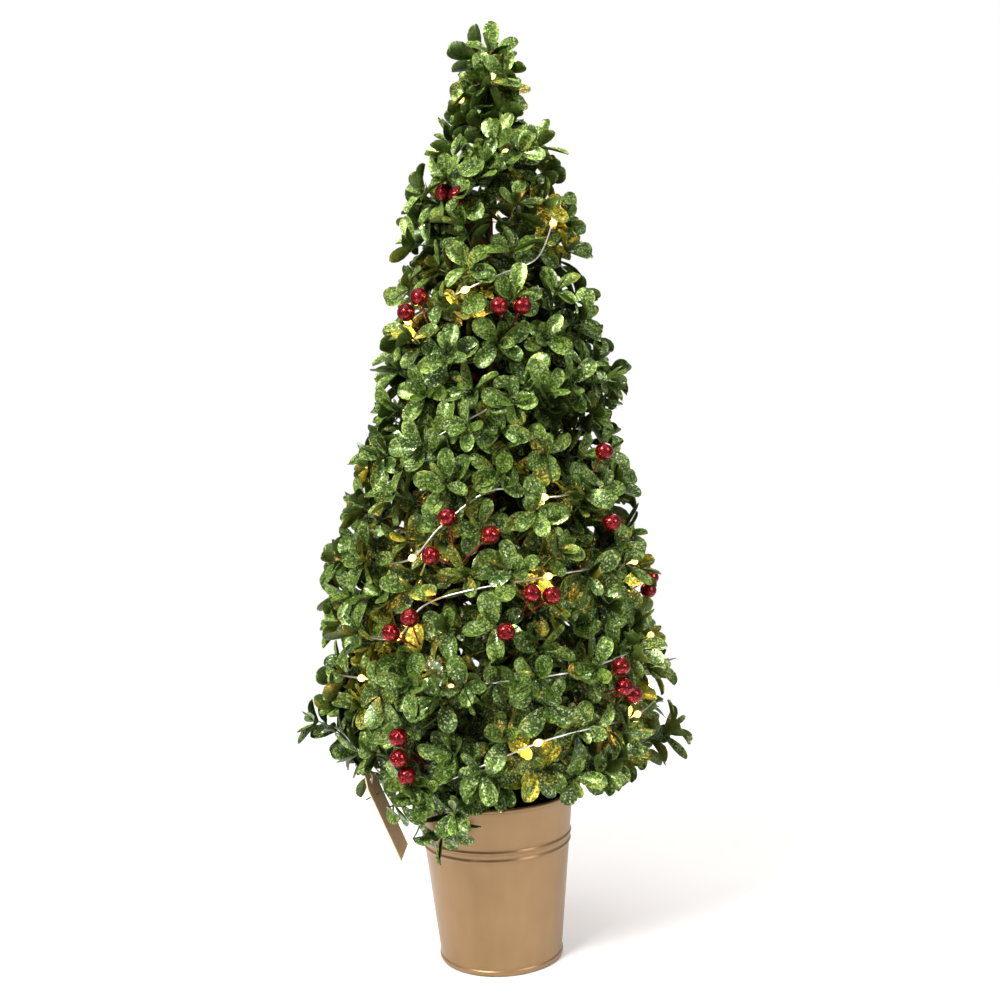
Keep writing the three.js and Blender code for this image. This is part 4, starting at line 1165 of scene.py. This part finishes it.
def cover_sprigs():
    """Sprigs over the parts of the light string that leaves hide, and the branch of each."""
    spots = list(WIRE_COVERED) + [pick[1:3] for pick in PICKS if pick[0] == PICK_COVERED]
    for a, b in zip(lit, lit[1:]):
        if a[0] in COVERED:
            spots.append(a[:2])
        if a[0] in COVERED or b[0] in COVERED:
            spots.append(((a[0] + b[0]) / 2, (a[1] + b[1]) / 2))
    sprigs = []
    for azimuth, share in spots:
        z = height_at(share)
        reach = max(9, outline_radius(z) - 7 + bulge(azimuth, z))
        aside = math.degrees(8 / reach)
        tip = place(azimuth + aside, reach, z)

        def away(k):
            at, height = branch_plan(k)
            return (place(at, outline_radius(height), height) - tip).length

        sprigs.append((min(range(BRANCHES), key=away), tip, math.radians(azimuth), z))
    return sprigs


def add_lid(build, tip, around, aside_up):
    """A leaf flat over a place on the light string. Tries other ways round until one is clear."""
    out = Vector(polar(1, around, 0.1))
    back = Vector((math.sin(around), -math.cos(around), aside_up))
    for aside in (0, 0.5, -0.5, 1, -1):
        way = back + Vector((0, 0, aside))
        lid = Leaf(tip - back * 2, way, out, 17, 11, 0.2, 0.25, 0.5)
        if leaf_is_clear(lid):
            lid.write(build)
            break


def add_branch(k, tips, sprigs, materials):
    """A branch: its stem, sprigs inside the foliage, and twigs out to its tips."""
    rng = random.Random(1000 + k)
    azimuth, z = branch_plan(k)
    controls = stem_controls(azimuth, z)
    build = Build()
    add_rod(build, controls, STEM_RADIUS, 14, 8, 0.25)
    # Leaves along the stem, deep inside the foliage, are painted dark (tone 0.08): painted shade
    for i in range(3, 15, 2):
        at = bezier(*controls, i / 15)
        ahead = bezier(*controls, (i + 0.5) / 15) - at
        whorl(build, rng, at, ahead.normalized(), 3, (45, 85), LEAF_LENGTH, rng.random(), 0.08)
    for i in range(INNER_SPRIGS):
        height = max(POT_HEIGHT + 14, z + rng.uniform(-50, 50))
        if height > AIRY_ABOVE:
            continue
        around = azimuth + rng.uniform(-75, 75)
        reach = outline_radius(height) * rng.uniform(0.3, 0.68)
        tip = place(around, reach, height)
        foot = place(around, trunk_radius(height) + 0.6, max(FOAM_TOP + 8, height - 0.5 * reach))
        way = (tip - foot).normalized()
        path = [foot, (foot + tip) / 2 + Vector((0, 0, -3)), tip]
        if any(in_box_room(foot.lerp(tip, t), 2) for t in (0.2, 0.4, 0.6, 0.8, 1)):
            continue
        add_rod(build, path, INNER_RADIUS, 5, 5)
        # Inner sprig leaves are painted dark (tone 0.1): painted shade
        for t in (1.0, 0.75, 0.5):
            whorl(build, rng, bezier(*path, t), way, 4, (35, 85), LEAF_LENGTH, rng.random(), 0.1)
    ends = []
    for j in range(PATCH_TWIGS):
        around, height = tips[(k, j)]
        inset = LEAF_LENGTH * TIP_INSET + min(14, max(-7, rng.gauss(1.5, 5)))
        radius = max(2, outline_radius(height) - inset + bulge(math.degrees(around), height))
        ends.append((j, place(math.degrees(around), radius, height), around, height))
    for owner, around, height, out in STRAYS:
        if owner == k:
            tip = place(around, outline_radius(height) + out - LEAF_LENGTH, height)
            ends.append((PATCH_TWIGS - 2, tip, math.radians(around), height))
    for owner, tip, around, height in sprigs:
        if owner == k:
            ends.append((PATCH_TWIGS - 3, tip, around, height))
            add_lid(build, tip, around, rng.uniform(-0.2, 0.2))
    for j, tip, around, height in ends:
        foot = bezier(*controls, 0.42 + 0.56 * (j + 1) / PATCH_TWIGS)
        climb = max(0, (height - 150) / 450)
        out = Vector(polar(1, around, 0.25 + 1.1 * climb**2))
        if height < 125:
            out.z -= 0.35
        wobble = Vector([rng.uniform(-1, 1) for _ in range(3)]) * 0.35
        axis = (out.normalized() + wobble + (tip - foot).normalized() * 0.4).normalized()
        twig(build, rng, foot, tip, axis)
    both, number = [materials["leaf"], materials["stem"]], f"{k + 1:02d}"
    build.finish("spray_" + number, both, "tree", ["branch_" + number])


# ---- Everything ----


# The CAD nodes that are shown as they are, by material.
CAD_PIECES = {
    "pot": ("pot_base",),
    "plaster": ("ballast",),
    "foam": ("foam_plug",),
    "card": ("hang_tag",),
    "plastic": ("battery_box", "battery_door", "switch_slider"),
    "cell": ("cell_1", "cell_2"),
    "contact": ("contact_spring_1", "contact_spring_2", "contact_plate_1", "contact_plate_2"),
}


def give(node, material):
    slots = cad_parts[node].data.materials
    slots.clear()
    slots.append(material)


def soft_edge(node, width):
    """Rounds a CAD node's sharp edges a little."""
    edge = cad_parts[node].modifiers.new("soft_edge", "BEVEL")
    edge.width = width * MM
    edge.segments = 2
    edge.limit_method = "ANGLE"
    edge.angle_limit = math.radians(40)
    edge.harden_normals = True


FLOOR_RADIUS = 1.05  # metres
FLOOR_FADE = (0.32, 1.0)  # metres from the middle: the floor fades out between these


def add_stage():
    """A pale round floor that fades out into the white round it."""
    floor = Nodes("floor_pale")
    away = floor.node("ShaderNodeVectorMath", {0: floor.coords()}, operation="LENGTH")
    grain = floor.noise(6, 2)
    color = floor.ramp(grain, (0.3, (0.9, 0.9, 0.9)), (0.7, (0.93, 0.93, 0.93)))
    floor.set(color=color, roughness=0.8, specular=0.1)
    share = floor.map(away.outputs["Value"], *FLOOR_FADE)
    clear = floor.node("ShaderNodeBsdfTransparent").outputs[0]
    parts = {"Fac": share, 1: floor.bsdf.outputs[0], 2: clear}
    blend = floor.node("ShaderNodeMixShader", parts).outputs[0]
    floor.put(floor.tree.nodes["Material Output"].inputs["Surface"], blend)
    mesh = bpy.data.meshes.new("floor")
    ring = [polar(FLOOR_RADIUS, angle, -0.0004) for angle in turns(72)]
    mesh.from_pydata(ring, [], [tuple(range(len(ring)))])
    mesh.materials.append(floor.material)
    add_object("floor", mesh)


def area_light(name, at, target, size, power):
    lamp = bpy.data.lights.new(name, "AREA")
    lamp.shape = "RECTANGLE"
    lamp.size, lamp.size_y = size
    lamp.energy = power
    obj = add_object(name, lamp)
    obj.location = at
    obj.rotation_euler = (Vector(target) - Vector(at)).to_track_quat("-Z", "Y").to_euler()


def add_light():
    """Four soft lamps, and a white world that lights the tree less than it shows."""
    world = bpy.data.worlds.new("studio")
    world.use_nodes = True
    nodes, links = world.node_tree.nodes, world.node_tree.links
    background = nodes["Background"]
    background.inputs["Color"].default_value = (1, 1, 1, 1)
    seen = nodes.new("ShaderNodeLightPath").outputs["Is Camera Ray"]
    strength = nodes.new("ShaderNodeMapRange")
    strength.inputs["To Min"].default_value = 0.34
    strength.inputs["To Max"].default_value = 1.0
    links.new(seen, strength.inputs["Value"])
    links.new(strength.outputs["Result"], background.inputs["Strength"])
    bpy.context.scene.world = world
    middle = (0, 0, 0.3)
    area_light("key_left", (-0.8, -1.1, 1.35), middle, (0.45, 0.6), 48)
    area_light("fill_right", (1.2, -1.0, 0.9), middle, (0.5, 0.8), 12)
    area_light("overhead", (0, -0.1, 1.7), middle, (1.3, 1.3), 9)
    area_light("back_top", (0.3, 1.25, 1.3), middle, (0.9, 0.6), 14)


CAMERA_AT = (0.0114, -0.822, 0.345)  # metres
CAMERA_TARGET = (0.0114, 0, 0.3026)
CAMERA_ROLL = -2.4
CAMERA_LENS = 45


def add_camera():
    data = bpy.data.cameras.new("camera")
    data.sensor_width = 36
    data.lens = CAMERA_LENS
    camera = add_object("camera", data)
    at, target = Vector(CAMERA_AT), Vector(CAMERA_TARGET)
    turn = (target - at).to_track_quat("-Z", "Y").to_matrix().to_4x4()
    roll = Matrix.Rotation(math.radians(CAMERA_ROLL), 4, "Z")
    camera.matrix_world = Matrix.Translation(at) @ turn @ roll
    bpy.context.scene.camera = camera


def main():
    materials = {
        "leaf": leaf_material(),
        "stem": stem_material("stem_green", (0.012, 0.035, 0.008), (0.06, 0.12, 0.03), 900),
        "berry": berry_material(),
        "berry_stem": stem_material(
            "berry_stem_red", (0.08, 0.004, 0.006), (0.38, 0.02, 0.025), 1500
        ),
        "pot": pot_material(),
        "bark": stem_material("trunk_tape", (0.045, 0.022, 0.010), (0.17, 0.09, 0.045), 500),
        "moss": moss_material(),
        "twine": twine_material(),
        "wire": metal_material(
            "string_wire", (0.62, 0.61, 0.57), (0.8, 0.79, 0.75), (0.3, 0.42)
        ),
        "bead": bead_material(),
        "plaster": plaster_material(),
        "foam": foam_material(),
        "card": card_material(),
        "plastic": plastic_material(),
        "cell": cell_material(),
        "contact": metal_material(
            "contact_steel", (0.42, 0.42, 0.40), (0.78, 0.77, 0.73), (0.2, 0.4)
        ),
    }
    add_camera()
    add_stage()
    add_light()
    for add_piece in (add_pot, add_moss, add_trunk, add_light_string):
        add_piece(materials)
    for pick in PICKS:
        add_pick(pick, materials)
    add_twine(materials)
    tips = spread_tips()
    sprigs = cover_sprigs()
    for k in range(BRANCHES):
        add_branch(k, tips, sprigs, materials)
    for label, nodes in CAD_PIECES.items():
        for node in nodes:
            give(node, materials[label])
    for node in CAD_PIECES["plastic"]:
        soft_edge(node, 0.35)
    bpy.context.scene.view_settings.view_transform = "Standard"


main()
